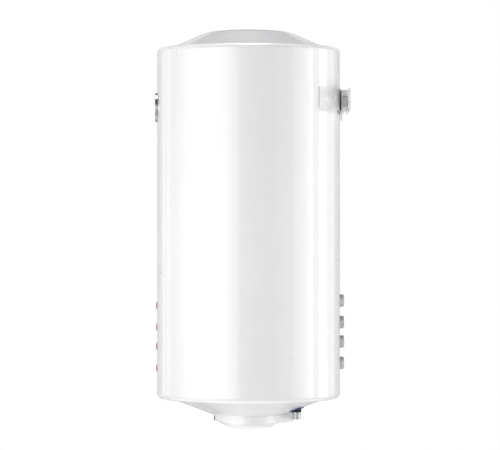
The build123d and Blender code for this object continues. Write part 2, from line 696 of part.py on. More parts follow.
BASE_TALL = BRACKET_TOP - BRACKET_BASE_BOTTOM
REAR_TALL = BRACKET_TOP - BRACKET_REAR_BOTTOM
with BuildPart() as hanger_bracket:
    with BuildSketch(front_plane(-BRACKET_BASE_Y, BRACKET_BASE_BOTTOM)):
        Rectangle(2 * BRACKET_HALF, BASE_TALL, align=(Align.CENTER, Align.MIN))
        Rectangle(TONGUE_WIDTH, BRACKET_BASE_BOTTOM - TONGUE_BOTTOM, align=(Align.CENTER, Align.MAX))
    extrude(amount=-BRACKET_SHEET)
    for side in (-1, 1):
        with BuildSketch(SIDE.offset(side * (BRACKET_HALF - BRACKET_SHEET / 2))):
            Polygon(
                (BRACKET_BASE_Y, BRACKET_BASE_BOTTOM),
                (BRACKET_REAR_Y, BRACKET_REAR_BOTTOM),
                (BRACKET_REAR_Y, BRACKET_TOP),
                (BRACKET_BASE_Y, BRACKET_TOP),
                align=None,
            )
        extrude(amount=BRACKET_SHEET / 2, both=True)
        with BuildSketch(front_plane(-BRACKET_REAR_Y, BRACKET_REAR_BOTTOM, side * BRACKET_HALF)):
            edge = Align.MIN if side > 0 else Align.MAX
            Rectangle(FLANGE_REACH, REAR_TALL, align=(edge, Align.MIN))
        extrude(amount=BRACKET_SHEET)
    with BuildSketch(front_plane(-BRACKET_REAR_Y, STRAP_MID_HEIGHT)):
        with GridLocations(2 * STUD_X, 0, 2, 1):
            Circle(STUD_HOLE_R)
    extrude(amount=BRACKET_SHEET, mode=Mode.SUBTRACT)
    with BuildSketch(SIDE):
        with Locations((CROSS_BOLT_Y, CROSS_BOLT_HEIGHT)):
            Circle(CROSS_HOLE_R)
    extrude(amount=2 * BRACKET_HALF, both=True, mode=Mode.SUBTRACT)
save(hanger_bracket.part, "hanger_bracket")

CROSS_BOLT_R = 3.0
CROSS_BOLT_FLATS = 10.0
CROSS_BOLT_HEAD = 4.0
CROSS_NUT_THICKNESS = 5.0
CROSS_BOLT_LENGTH = 2 * BRACKET_HALF + CROSS_NUT_THICKNESS + 2.0
with BuildPart() as cross_bolt:
    with BuildSketch(SIDE.offset(BRACKET_HALF)):
        with Locations((CROSS_BOLT_Y, CROSS_BOLT_HEIGHT)):
            Circle(CROSS_BOLT_R)
    extrude(amount=-CROSS_BOLT_LENGTH)
    with BuildSketch(SIDE.offset(BRACKET_HALF)):
        with Locations((CROSS_BOLT_Y, CROSS_BOLT_HEIGHT)):
            RegularPolygon(CROSS_BOLT_FLATS / 2, 6, major_radius=False)
    extrude(amount=CROSS_BOLT_HEAD)
save(cross_bolt.part, "cross_bolt")

with BuildPart() as cross_bolt_nut:
    with BuildSketch(SIDE.offset(-BRACKET_HALF)):
        with Locations((CROSS_BOLT_Y, CROSS_BOLT_HEIGHT)):
            RegularPolygon(CROSS_BOLT_FLATS / 2, 6, major_radius=False)
            Circle(CROSS_BOLT_R, mode=Mode.SUBTRACT)
    extrude(amount=-CROSS_NUT_THICKNESS)
save(cross_bolt_nut.part, "cross_bolt_nut")

PLATE_STUD_LENGTH = 13.0
with BuildPart() as plate_studs:
    with BuildSketch(front_plane(-BRACKET_REAR_Y, STRAP_MID_HEIGHT)):
        with GridLocations(2 * STUD_X, 0, 2, 1):
            Circle(STUD_R)
    extrude(amount=PLATE_STUD_LENGTH)
save(plate_studs.part, "plate_studs")

with BuildPart() as plate_nuts:
    with BuildSketch(front_plane(-BRACKET_REAR_Y + BRACKET_SHEET, STRAP_MID_HEIGHT)):
        with GridLocations(2 * STUD_X, 0, 2, 1):
            RegularPolygon(NUT_ACROSS_FLATS / 2, 6, major_radius=False)
            Circle(STUD_R, mode=Mode.SUBTRACT)
    extrude(amount=NUT_THICKNESS)
save(plate_nuts.part, "plate_nuts")

# ---- thermometer ----
BEZEL_FACE = 224.4
BEZEL_LIP = 2.8
BEZEL_BORE_R = 30.9
BEZEL_WINDOW_R = 28.3
BEZEL_DEPTH = 12.0
BEZEL_ROUND = 1.2
LENS_R = 30.5
LENS_THICKNESS = 1.6
CASE_R = 30.6
CASE_WALL = 1.5
CASE_DEPTH = 16.0
DIAL_R = 28.8
DIAL_THICKNESS = 1.0
DIAL_FACE = 217.5
NEEDLE_SHAFT_R = 1.0
NEEDLE_GAP = 0.05
NEEDLE_LENGTH = 21.0
NEEDLE_TAIL = 7.0
NEEDLE_HALF = 1.4
NEEDLE_REST = 120.0
NEEDLE_HUB_R = 3.2
STEM_R = 4.0
STEM_LENGTH = 62.0
LENS_FACE = BEZEL_FACE - BEZEL_LIP
CASE_FACE = LENS_FACE - LENS_THICKNESS

with BuildPart() as thermometer_bezel:
    with BuildSketch(front_plane(BEZEL_FACE, THERMOMETER_HEIGHT)):
        Circle(THERMOMETER_R)
    extrude(amount=-BEZEL_DEPTH)
    fillet(thermometer_bezel.edges().group_by(Axis.Y)[0], BEZEL_ROUND)
    with BuildSketch(front_plane(BEZEL_FACE, THERMOMETER_HEIGHT)):
        Circle(BEZEL_WINDOW_R)
    extrude(amount=-BEZEL_DEPTH, mode=Mode.SUBTRACT)
    with BuildSketch(front_plane(LENS_FACE, THERMOMETER_HEIGHT)):
        Circle(BEZEL_BORE_R)
    extrude(amount=-BEZEL_DEPTH, mode=Mode.SUBTRACT)
    with BuildSketch(level(THERMOMETER_HEIGHT - THERMOMETER_R)):
        Circle(DRUM_R + CLEARANCE)
    extrude(amount=2 * THERMOMETER_R, mode=Mode.SUBTRACT)
save(thermometer_bezel.part, "thermometer_bezel")

with BuildPart() as thermometer_lens:
    with BuildSketch(front_plane(LENS_FACE, THERMOMETER_HEIGHT)):
        Circle(LENS_R)
    extrude(amount=-LENS_THICKNESS)
save(thermometer_lens.part, "thermometer_lens")

with BuildPart() as thermometer_case:
    with BuildSketch(front_plane(CASE_FACE, THERMOMETER_HEIGHT)):
        Circle(CASE_R)
    extrude(amount=-CASE_DEPTH)
    with BuildSketch(front_plane(CASE_FACE, THERMOMETER_HEIGHT)):
        Circle(CASE_R - CASE_WALL)
    extrude(amount=CASE_WALL - CASE_DEPTH, mode=Mode.SUBTRACT)
    with BuildSketch(front_plane(CASE_FACE - CASE_DEPTH, THERMOMETER_HEIGHT)):
        Circle(STEM_R)
    extrude(amount=-STEM_LENGTH)
save(thermometer_case.part, "thermometer_case")

with BuildPart() as thermometer_dial:
    with BuildSketch(front_plane(DIAL_FACE, THERMOMETER_HEIGHT)):
        Circle(DIAL_R)
        Circle(NEEDLE_SHAFT_R + NEEDLE_GAP, mode=Mode.SUBTRACT)
    extrude(amount=-DIAL_THICKNESS)
save(thermometer_dial.part, "thermometer_dial")

NEEDLE_LIFT = 1.0
NEEDLE_THICKNESS = 0.8
NEEDLE_FACE = DIAL_FACE + NEEDLE_LIFT + NEEDLE_THICKNESS
with BuildPart() as thermometer_needle:
    with BuildSketch(front_plane(NEEDLE_FACE, THERMOMETER_HEIGHT)):
        Circle(NEEDLE_HUB_R)
        with Locations(Rotation(0, 0, NEEDLE_REST)):
            Polygon(
                (-NEEDLE_HALF, -NEEDLE_TAIL),
                (NEEDLE_HALF, -NEEDLE_TAIL),
                (NEEDLE_HALF / 4, NEEDLE_LENGTH),
                (-NEEDLE_HALF / 4, NEEDLE_LENGTH),
                align=None,
            )
    extrude(amount=-NEEDLE_THICKNESS)
    with BuildSketch(front_plane(NEEDLE_FACE, THERMOMETER_HEIGHT)):
        Circle(NEEDLE_SHAFT_R)
    extrude(amount=-NEEDLE_THICKNESS - NEEDLE_LIFT - 2 * DIAL_THICKNESS)
save(thermometer_needle.part, "thermometer_needle")

THERMOMETER_POCKET_BORE_R = 4.4
THERMOMETER_POCKET_OUT = 2.0
THERMOMETER_POCKET_DEPTH = 55.0
with BuildPart() as thermometer_pocket:
    with BuildSketch(front_plane(TANK_R + THERMOMETER_POCKET_OUT, THERMOMETER_HEIGHT)):
        Circle(POCKET_R)
    extrude(amount=-THERMOMETER_POCKET_DEPTH)
    with BuildSketch(front_plane(TANK_R + THERMOMETER_POCKET_OUT, THERMOMETER_HEIGHT)):
        Circle(THERMOMETER_POCKET_BORE_R)
    extrude(amount=CAP_WALL - THERMOMETER_POCKET_DEPTH, mode=Mode.SUBTRACT)
save(thermometer_pocket.part, "thermometer_pocket")

# ---- electric cover and its base ring ----
BASE_RING_THICKNESS = 3.0
BASE_RING_R = DISH_FLAT_R - 1.0
BASE_RING_BORE_R = DISH_OPENING_R + 1.0
BASE_RING_ROUND = 1.0
BASE_RING_TOP = DISH_FLAT_HEIGHT - 0.1
BASE_RING_BOTTOM = BASE_RING_TOP - BASE_RING_THICKNESS
COVER_SCREW_X = 66.0
SCREW_R = 1.9
SCREW_HOLE_R = 2.1
with BuildPart() as cover_base_ring:
    with BuildSketch(level(BASE_RING_BOTTOM)):
        Circle(BASE_RING_R)
        Circle(BASE_RING_BORE_R, mode=Mode.SUBTRACT)
        with GridLocations(2 * COVER_SCREW_X, 0, 2, 1):
            Circle(SCREW_R, mode=Mode.SUBTRACT)
    extrude(amount=BASE_RING_THICKNESS)
    fillet(cover_base_ring.edges().group_by(Axis.Z)[0].sort_by(SortBy.LENGTH)[-1], BASE_RING_ROUND)
save(cover_base_ring.part, "cover_base_ring")

SWITCH_FACE = 81.0
COVER_NOSE = 95.0
COVER_NOSE_HEIGHT = -49.0
COVER_BACK = 64.0
COVER_BACK_SLOPE_Y = 55.0
COVER_SHELL_TOP = -28.0
COVER_DEEPEST = -68.8
COVER_BACK_CORNER = -66.4
FLOOR_FRONT_Y = -36.0
FLOOR_BACK_Y = 4.0
FLOOR_BEND = 60.0
COVER_ROUND = 10.0
ARM_START_Y = 48.0
ARM_END_Y = 107.0
ARM_START_HEIGHT = -60.3
ARM_END_HEIGHT = -55.6
ARM_ROUND = 5.0
ARM_NECK_Y = 96.0
ARM_NECK_HALF = 33.0
ARM_ROOT_HALF = 60.0
SEAT_GAP = 0.3
SEAT_HEIGHT = BASE_RING_BOTTOM - SEAT_GAP
KNOB_R = 19.0
KNOB_GAP = 0.7
KNOB_BOTTOM = -70.6
KNOB_THICKNESS = 6.0
PILLAR_R = 4.6
SCREW_HEAD_R = 3.8
SCREW_HEAD_HEIGHT = 2.2
SCREW_HEAD_RECESS_R = 4.1
SCREW_RECESS = 2.5
SCREW_HEAD_SINK = 0.2
PILLAR_FOOT = COVER_DEEPEST + 1.0
BELOW_COVER = COVER_DEEPEST - 1.0
SWITCH_WIDTH = 21.0
SWITCH_TALL = 12.4
SWITCH_LIP = 1.5
SWITCH_RIM = 1.3
SWITCH_BODY_DEPTH = 12.0
SWITCH_OPENING_DEPTH = 13.0
BOSS_HALF = 13.0
BOSS_BOTTOM = -55.4
BOSS_START = 55.0
GLAND_HEIGHT = -43.6
GLAND_THREAD_R = 8.0
GLAND_FLANGE_R = 9.6
GLAND_FLANGE = 3.0
GLAND_BORE_R = 4.6
GLAND_NUT_R = 10.0


def turn_distance(edge):
    """Distance of an edge's middle from the tank's axis."""
    middle = edge @ 0.5
    return sqrt(middle.X**2 + (middle.Y + WALL_TO_AXIS) ** 2)


def cover_block(inset):
    """Solid bowl of the cover, every face moved inwards by the inset."""
    floor = COVER_DEEPEST + inset
    nose = COVER_NOSE_HEIGHT + inset
    back = COVER_BACK - inset
    wall_r = COVER_R - inset
    with BuildPart() as block:
        with BuildSketch(SIDE) as section:
            Polygon(
                (-COVER_NOSE, COVER_SHELL_TOP),
                (-COVER_NOSE, nose),
                (FLOOR_FRONT_Y, floor),
                (FLOOR_BACK_Y, floor),
                (COVER_BACK_SLOPE_Y - inset, COVER_BACK_CORNER + inset),
                (back, ARM_START_HEIGHT + inset),
                (back, COVER_SHELL_TOP),
                align=None,
            )
            fillet(section.vertices().filter_by(lambda corner: abs(corner.X) < ARM_START_Y), FLOOR_BEND)
        extrude(amount=COVER_R, both=True)
        with BuildSketch(level(COVER_SHELL_TOP)):
            Circle(wall_r)
        extrude(amount=2 * COVER_DEEPEST, mode=Mode.INTERSECT)
        lower_edges = block.edges().filter_by(
            lambda edge: edge.center().Z + PLATE_HEIGHT < nose
            and abs(turn_distance(edge) - wall_r) < SEAT_GAP
        )
        fillet(lower_edges, COVER_ROUND - inset)
    return block.part


def cover_arm(inset):
    """Solid arm of the cover that reaches back to the cable gland."""
    with BuildPart() as arm:
        with BuildSketch(SIDE):
            Polygon(
                (ARM_START_Y, COVER_SHELL_TOP),
                (ARM_START_Y, ARM_START_HEIGHT + inset),
                (ARM_END_Y - inset, ARM_END_HEIGHT + inset),
                (ARM_END_Y - inset, COVER_SHELL_TOP),
                align=None,
            )
        extrude(amount=ARM_ROOT_HALF, both=True)
        with BuildSketch(level(COVER_SHELL_TOP)):
            Polygon(
                (inset - ARM_ROOT_HALF, ARM_START_Y),
                (ARM_ROOT_HALF - inset, ARM_START_Y),
                (ARM_NECK_HALF - inset, ARM_NECK_Y),
                (COVER_ARM_HALF - inset, ARM_END_Y),
                (inset - COVER_ARM_HALF, ARM_END_Y),
                (inset - ARM_NECK_HALF, ARM_NECK_Y),
                align=None,
            )
        extrude(amount=2 * COVER_DEEPEST, mode=Mode.INTERSECT)
        underside = arm.faces().sort_by(Axis.Z)[0]
        fillet(underside.edges().filter_by(Axis.X, reverse=True), ARM_ROUND - inset)
    return arm.part


def switch_boss(inset):
    """Solid block at the cover's front that the switch sits in."""
    with BuildPart() as boss:
        with BuildSketch(front_plane(SWITCH_FACE - inset, BOSS_BOTTOM + inset)):
            Rectangle(
                2 * (BOSS_HALF - inset),
                COVER_SHELL_TOP - BOSS_BOTTOM - inset,
                align=(Align.CENTER, Align.MIN),
            )
        extrude(amount=BOSS_START - SWITCH_FACE)
    return boss.part


cover_blocks = [cover_block(0), cover_arm(0), switch_boss(0)]
cover_hollows = [cover_block(COVER_WALL), cover_arm(COVER_WALL), switch_boss(COVER_WALL)]

with BuildPart() as cover_seat:
    with BuildSketch(PROFILE):
        Polygon(
            (0, SEAT_HEIGHT),
            (BASE_RING_R + SEAT_GAP, SEAT_HEIGHT),
            (BASE_RING_R + SEAT_GAP, DISH_FLAT_HEIGHT - SEAT_GAP),
            (DISH_FLAT_R, DISH_FLAT_HEIGHT - SEAT_GAP),
            (CAP_R, -SEAT_GAP),
            (CAP_R, CAP_SKIRT),
            (0, CAP_SKIRT),
            align=None,
        )
    revolve(axis=TANK_AXIS)

with BuildPart() as electric_cover:
    add(cover_blocks)
    add(cover_hollows, mode=Mode.SUBTRACT)
    with BuildSketch(level(SEAT_HEIGHT)):
        with GridLocations(2 * COVER_SCREW_X, 0, 2, 1):
            Circle(PILLAR_R)
    extrude(amount=PILLAR_FOOT - SEAT_HEIGHT)
    with BuildSketch(level(BELOW_COVER)):
        with GridLocations(2 * COVER_SCREW_X, 0, 2, 1):
            Circle(SCREW_HOLE_R)
    extrude(amount=SEAT_HEIGHT - BELOW_COVER, mode=Mode.SUBTRACT)
    with BuildSketch(level(BELOW_COVER)):
        with GridLocations(2 * COVER_SCREW_X, 0, 2, 1):
            Circle(SCREW_HEAD_RECESS_R)
    extrude(amount=COVER_DEEPEST + SCREW_RECESS - BELOW_COVER, mode=Mode.SUBTRACT)
    with BuildSketch(level(BELOW_COVER, 0, KNOB_Y)):
        Circle(KNOB_R + KNOB_GAP)
    extrude(amount=KNOB_THICKNESS, mode=Mode.SUBTRACT)
    with BuildSketch(front_plane(COVER_NOSE, 2 * COVER_DEEPEST)):
        Rectangle(2 * COVER_R, -2 * COVER_DEEPEST, align=(Align.CENTER, Align.MIN))
    extrude(amount=SWITCH_FACE - COVER_NOSE, mode=Mode.SUBTRACT)
    with BuildSketch(front_plane(SWITCH_FACE, SWITCH_HEIGHT)):
        Rectangle(SWITCH_WIDTH - 2 * SWITCH_RIM, SWITCH_TALL - 2 * SWITCH_RIM)
    extrude(amount=-SWITCH_OPENING_DEPTH, mode=Mode.SUBTRACT)
    with BuildSketch(front_plane(-ARM_END_Y, GLAND_HEIGHT)):
        Circle(GLAND_THREAD_R)
    extrude(amount=2 * COVER_WALL, mode=Mode.SUBTRACT)
    add(cover_seat.part, mode=Mode.SUBTRACT)
save(electric_cover.part, "electric_cover")

SCREW_END = 1.0
SCREW_SLOT = 1.0
SCREW_SLOT_LENGTH = 5.6
SCREW_HEAD_FACE = COVER_DEEPEST + SCREW_HEAD_SINK
with BuildPart() as cover_screws:
    with BuildSketch(level(SCREW_HEAD_FACE)):
        with GridLocations(2 * COVER_SCREW_X, 0, 2, 1):
            Circle(SCREW_HEAD_R)
    extrude(amount=SCREW_HEAD_HEIGHT)
    with BuildSketch(level(SCREW_HEAD_FACE)):
        with GridLocations(2 * COVER_SCREW_X, 0, 2, 1):
            Circle(SCREW_R)
    extrude(amount=BASE_RING_TOP - SCREW_END - COVER_DEEPEST)
    with BuildSketch(level(SCREW_HEAD_FACE)):
        with GridLocations(2 * COVER_SCREW_X, 0, 2, 1):
            Rectangle(SCREW_SLOT, SCREW_SLOT_LENGTH)
            Rectangle(SCREW_SLOT_LENGTH, SCREW_SLOT)
    extrude(amount=SCREW_SLOT, mode=Mode.SUBTRACT)
save(cover_screws.part, "cover_screws")

# ---- rocker switch ----
SWITCH_PIVOT = 79.0
ROCKER_TILT = 7.0
ROCKER_HALF_WIDTH = 7.4
ROCKER_FACE_HALF = 4.0
ROCKER_FACE_EDGE = 4.6
ROCKER_FACE_MIDDLE = 4.0
ROCKER_BACK = 3.0
ROCKER_BACK_HALF = 2.6
ROCKER_OPENING_HALF = 4.9
ROCKER_OPENING_HALF_WIDTH = 7.9
AXLE_R = 1.0
AXLE_LENGTH = 1.2
AXLE_GAP = 0.05
SWITCH_FRONT = SWITCH_FACE + SWITCH_LIP
FRAME_ROUND = 1.0

with BuildPart() as switch_frame:
    with BuildSketch(front_plane(SWITCH_FRONT, SWITCH_HEIGHT)):
        Rectangle(SWITCH_WIDTH, SWITCH_TALL)
    extrude(amount=-SWITCH_LIP)
    fillet(switch_frame.edges().filter_by(Axis.Y), FRAME_ROUND)
    fillet(switch_frame.edges().group_by(Axis.Y)[0], FRAME_ROUND / 2)
    with BuildSketch(front_plane(SWITCH_FACE, SWITCH_HEIGHT)):
        Rectangle(SWITCH_WIDTH - 2 * SWITCH_RIM - PLUG_SEAT, SWITCH_TALL - 2 * SWITCH_RIM - PLUG_SEAT)
    extrude(amount=-SWITCH_BODY_DEPTH)
    with BuildSketch(front_plane(SWITCH_FRONT, SWITCH_HEIGHT)):
        Rectangle(2 * ROCKER_OPENING_HALF_WIDTH, 2 * ROCKER_OPENING_HALF)
    extrude(amount=-SWITCH_BODY_DEPTH + SWITCH_LIP, mode=Mode.SUBTRACT)
    with BuildSketch(SIDE):
        with Locations((-SWITCH_PIVOT, SWITCH_HEIGHT)):
            Circle(AXLE_R + AXLE_GAP)
    extrude(amount=ROCKER_HALF_WIDTH + AXLE_LENGTH + AXLE_GAP, both=True, mode=Mode.SUBTRACT)
save(switch_frame.part, "switch_frame")

# the rocker's own plane passes through its pivot, tipped to the rest position
rocker_lean = radians(ROCKER_TILT)
ROCKER_PLANE = Plane(
    (0, -WALL_TO_AXIS - SWITCH_PIVOT, SWITCH_HEIGHT - PLATE_HEIGHT),
    x_dir=(0, -cos(rocker_lean), sin(rocker_lean)),
    z_dir=(-1, 0, 0),
)
with BuildPart() as switch_rocker:
    with BuildSketch(ROCKER_PLANE):
        with BuildLine():
            Polyline(
                (ROCKER_FACE_EDGE, ROCKER_FACE_HALF),
                (-ROCKER_BACK, ROCKER_BACK_HALF),
                (-ROCKER_BACK, -ROCKER_BACK_HALF),
                (ROCKER_FACE_EDGE, -ROCKER_FACE_HALF),
            )
            ThreePointArc(
                (ROCKER_FACE_EDGE, -ROCKER_FACE_HALF),
                (ROCKER_FACE_MIDDLE, 0),
                (ROCKER_FACE_EDGE, ROCKER_FACE_HALF),
            )
        make_face()
    extrude(amount=ROCKER_HALF_WIDTH, both=True)
    with BuildSketch(ROCKER_PLANE):
        Circle(AXLE_R)
    extrude(amount=ROCKER_HALF_WIDTH + AXLE_LENGTH, both=True)
save(switch_rocker.part, "switch_rocker")

# ---- thermostat, its knob and the overheat cut-out ----
THERMOSTAT_BOTTOM = -60.0
THERMOSTAT_WIDTH = 34.0
THERMOSTAT_DEPTH = 30.0
SHAFT_R = 3.0
SHAFT_BOTTOM = KNOB_BOTTOM + 3.0
SHAFT_TOP = -50.0
SHAFT_END_GAP = 0.5
KNOB_GRIP = 9.0
KNOB_RECESS = 2.2
KNOB_RECESS_R = 16.8
KNOB_ROUND = 1.2
with BuildPart() as thermostat_body:
    with BuildSketch(level(THERMOSTAT_BOTTOM, 0, KNOB_Y)):
        RectangleRounded(THERMOSTAT_WIDTH, THERMOSTAT_DEPTH, STUD_R)
        Circle(SHAFT_R + AXLE_GAP, mode=Mode.SUBTRACT)
    extrude(amount=SHAFT_TOP + SHAFT_END_GAP - THERMOSTAT_BOTTOM)
    with BuildSketch(level(SHAFT_TOP + SHAFT_END_GAP, 0, KNOB_Y)):
        RectangleRounded(THERMOSTAT_WIDTH, THERMOSTAT_DEPTH, STUD_R)
    extrude(amount=THERMOSTAT_TOP - SHAFT_TOP - SHAFT_END_GAP)
save(thermostat_body.part, "thermostat_body")

with BuildPart() as thermostat_shaft:
    with BuildSketch(level(SHAFT_BOTTOM, 0, KNOB_Y)):
        Circle(SHAFT_R)
    extrude(amount=SHAFT_TOP - SHAFT_BOTTOM)
save(thermostat_shaft.part, "thermostat_shaft")

with BuildPart() as thermostat_knob:
    with BuildSketch(level(KNOB_BOTTOM, 0, KNOB_Y)):
        Circle(KNOB_R)
    extrude(amount=KNOB_THICKNESS)
    fillet(thermostat_knob.edges().group_by(Axis.Z)[0], KNOB_ROUND)
    with BuildSketch(level(KNOB_BOTTOM, 0, KNOB_Y)):
        Circle(KNOB_RECESS_R)
        Rectangle(KNOB_GRIP, 2 * KNOB_R, mode=Mode.SUBTRACT)
    extrude(amount=KNOB_RECESS, mode=Mode.SUBTRACT)
    with BuildSketch(level(SHAFT_BOTTOM, 0, KNOB_Y)):
        Circle(SHAFT_R)
    extrude(amount=KNOB_THICKNESS, mode=Mode.SUBTRACT)
save(thermostat_knob.part, "thermostat_knob")

CUTOUT_Y = 19.0
CUTOUT_WIDTH = 28.0
CUTOUT_DEPTH = 18.0
CUTOUT_BOTTOM = -54.0
BUTTON_R = 2.5
BUTTON_STANDS_OUT = 2.5
BUTTON_TOP = -48.0
BUTTON_TRAVEL = 1.5
BUTTON_BORE_TOP = BUTTON_TOP + BUTTON_TRAVEL + SHAFT_END_GAP
with BuildPart() as thermal_cutout:
    with BuildSketch(level(CUTOUT_BOTTOM, 0, CUTOUT_Y)):
        RectangleRounded(CUTOUT_WIDTH, CUTOUT_DEPTH, FRAME_ROUND)
    extrude(amount=THERMOSTAT_TOP - CUTOUT_BOTTOM)
    with BuildSketch(level(CUTOUT_BOTTOM, 0, CUTOUT_Y)):
        Circle(BUTTON_R + AXLE_GAP)
    extrude(amount=BUTTON_BORE_TOP - CUTOUT_BOTTOM, mode=Mode.SUBTRACT)
save(thermal_cutout.part, "thermal_cutout")

with BuildPart() as reset_button:
    with BuildSketch(level(CUTOUT_BOTTOM - BUTTON_STANDS_OUT, 0, CUTOUT_Y)):
        Circle(BUTTON_R)
    extrude(amount=BUTTON_TOP - CUTOUT_BOTTOM + BUTTON_STANDS_OUT)
    chamfer(reset_button.edges().group_by(Axis.Z)[0], FRAME_ROUND / 2)
save(reset_button.part, "reset_button")

TERMINAL_Y = 43.0
TERMINAL_WIDTH = 36.0
TERMINAL_DEPTH = 14.0
TERMINAL_BOTTOM = -55.0
TERMINAL_TOP = -41.0
TERMINAL_POLES = 3
TERMINAL_PITCH = 11.0
TERMINAL_HOLE_R = 2.2
with BuildPart() as terminal_block:
    with BuildSketch(level(TERMINAL_BOTTOM, 0, TERMINAL_Y)):
        RectangleRounded(TERMINAL_WIDTH, TERMINAL_DEPTH, FRAME_ROUND)
    extrude(amount=TERMINAL_TOP - TERMINAL_BOTTOM)
    with BuildSketch(level(TERMINAL_BOTTOM, 0, TERMINAL_Y)):
        with GridLocations(TERMINAL_PITCH, 0, TERMINAL_POLES, 1):
            Circle(TERMINAL_HOLE_R)
    extrude(amount=STUD_INSET, mode=Mode.SUBTRACT)
save(terminal_block.part, "terminal_block")

# ---- cable gland ----
GLAND_LENGTH = 10.0
GLAND_NUT_THICKNESS = 3.0
GLAND_FACE = ARM_END_Y + GLAND_FLANGE
GLAND_CHAMFER = 0.8
GLAND_OUTLINE = [
    (0, GLAND_BORE_R),
    (0, GLAND_FLANGE_R - GLAND_CHAMFER),
    (-GLAND_CHAMFER, GLAND_FLANGE_R),
    (-GLAND_FLANGE, GLAND_FLANGE_R),
    (-GLAND_FLANGE, GLAND_THREAD_R),
    (-GLAND_LENGTH, GLAND_THREAD_R),
    (-GLAND_LENGTH, GLAND_BORE_R),
]
gland_plane = Plane(
    (0, GLAND_FACE - WALL_TO_AXIS, GLAND_HEIGHT - PLATE_HEIGHT), x_dir=(1, 0, 0), z_dir=(0, 1, 0)
)
save(turned(gland_plane, GLAND_OUTLINE), "cable_gland")

with BuildPart() as gland_nut:
    with BuildSketch(front_plane(COVER_WALL - ARM_END_Y, GLAND_HEIGHT)):
        RegularPolygon(GLAND_NUT_R, 6)
        Circle(GLAND_THREAD_R, mode=Mode.SUBTRACT)
    extrude(amount=GLAND_NUT_THICKNESS)
save(gland_nut.part, "gland_nut")

# ---- foam between the drum and the tank ----
FOAM_GAP = 0.6
FOAM_BELOW = 66.0
FOAM_FLOOR = -33.0
FOAM_CORNER = 186.0
FOAM_LIP_R = 191.0
FOAM_OUTER_R = DRUM_R - DRUM_SHEET - FOAM_GAP
FOAM_RIM_R = DRUM_R - RIM_ROUND - FOAM_GAP
FOAM_EDGE = 1.6
FOAM_CROWN_R = 100.0
FOAM_CROWN_EDGE = CROWN_TOP - 12.5
with BuildPart() as tank_envelope:
    with BuildSketch(PROFILE):
        with BuildLine():
            RadiusArc((0, TANK_TOP + CLEARANCE), (TANK_R, TANK_TOP - HEAD_RISE + CLEARANCE), HEAD_CURVE)
            Polyline(
                (TANK_R, TANK_TOP - HEAD_RISE + CLEARANCE),
                (TANK_R, TANK_BOTTOM + HEAD_RISE - CLEARANCE),
            )
            RadiusArc((TANK_R, TANK_BOTTOM + HEAD_RISE - CLEARANCE), (0, TANK_BOTTOM - CLEARANCE), HEAD_CURVE)
            Line((0, TANK_BOTTOM - CLEARANCE), (0, TANK_TOP + CLEARANCE))
        make_face()
    revolve(axis=TANK_AXIS)

with BuildPart() as insulation_foam:
    with BuildSketch(PROFILE):
        Polygon(
            (0, FOAM_FLOOR),
            (DISH_FLAT_R, FOAM_FLOOR),
            (FOAM_CORNER, FOAM_EDGE),
            (FOAM_CORNER, CAP_SKIRT + FOAM_EDGE),
            (FOAM_LIP_R, CAP_SKIRT + FOAM_EDGE),
            (FOAM_LIP_R, FOAM_EDGE),
            (FOAM_RIM_R, FOAM_EDGE),
            (FOAM_OUTER_R, RIM_ROUND + FOAM_EDGE),
            (FOAM_OUTER_R, DRUM_HEIGHT - RIM_ROUND - FOAM_EDGE),
            (FOAM_RIM_R, DRUM_HEIGHT - FOAM_EDGE),
            (FOAM_LIP_R, DRUM_HEIGHT - FOAM_EDGE),
            (FOAM_LIP_R, DRUM_HEIGHT - CAP_SKIRT - FOAM_EDGE),
            (FOAM_CORNER, DRUM_HEIGHT - CAP_SKIRT - FOAM_EDGE),
            (FOAM_CORNER, DRUM_HEIGHT - 2 * FOAM_EDGE),
            (FOAM_CROWN_R, FOAM_CROWN_EDGE),
            (0, CROWN_TOP - 2 * CAP_WALL),
            align=None,
        )
    revolve(axis=TANK_AXIS)
    add(tank_envelope.part, mode=Mode.SUBTRACT)
    with BuildSketch(level(FOAM_FLOOR)):
        Circle(FOAM_BELOW)
    extrude(amount=TANK_BOTTOM + HEAD_RISE - FOAM_FLOOR, mode=Mode.SUBTRACT)
    for angle, heights, hole_r in (
        (REAR_PORT_ANGLE, REAR_PORT_HEIGHTS, SOCKET_R + CLEARANCE),
        (FRONT_PORT_ANGLE, FRONT_PORT_HEIGHTS, FRONT_SOCKET_R + CLEARANCE),
    ):
        for height in heights:
            with BuildSketch(radial(angle, height, DRUM_R)):
                Circle(hole_r)
            extrude(amount=-2 * WALL_DEPTH, mode=Mode.SUBTRACT)
    for side in (-1, 1):
        with BuildSketch(level(FOAM_FLOOR, side * PIPE_X, PIPE_Y)):
            Circle(PIPE_SLEEVE_R + CLEARANCE)
        extrude(amount=SHELL_BOTTOM - FOAM_FLOOR, mode=Mode.SUBTRACT)
    for angle in RIVET_ANGLES:
        with BuildSketch(radial(angle, STRAP_MID_HEIGHT, DRUM_R)):
            Circle(RIVET_HEAD_R + CLEARANCE)
        extrude(amount=-STUD_INSET / 2, mode=Mode.SUBTRACT)
    with BuildSketch(front_plane(DRUM_R, THERMOMETER_HEIGHT)):
        Circle(CASE_R + CLEARANCE)
    extrude(amount=-CASE_DEPTH, mode=Mode.SUBTRACT)
    with BuildSketch(front_plane(DRUM_R, THERMOMETER_HEIGHT)):
        Circle(POCKET_R + CLEARANCE)
    extrude(amount=-2 * WALL_DEPTH, mode=Mode.SUBTRACT)
save(insulation_foam.part, "insulation_foam")
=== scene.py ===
import json
import math

import bmesh
import bpy
from mathutils import Matrix, Vector


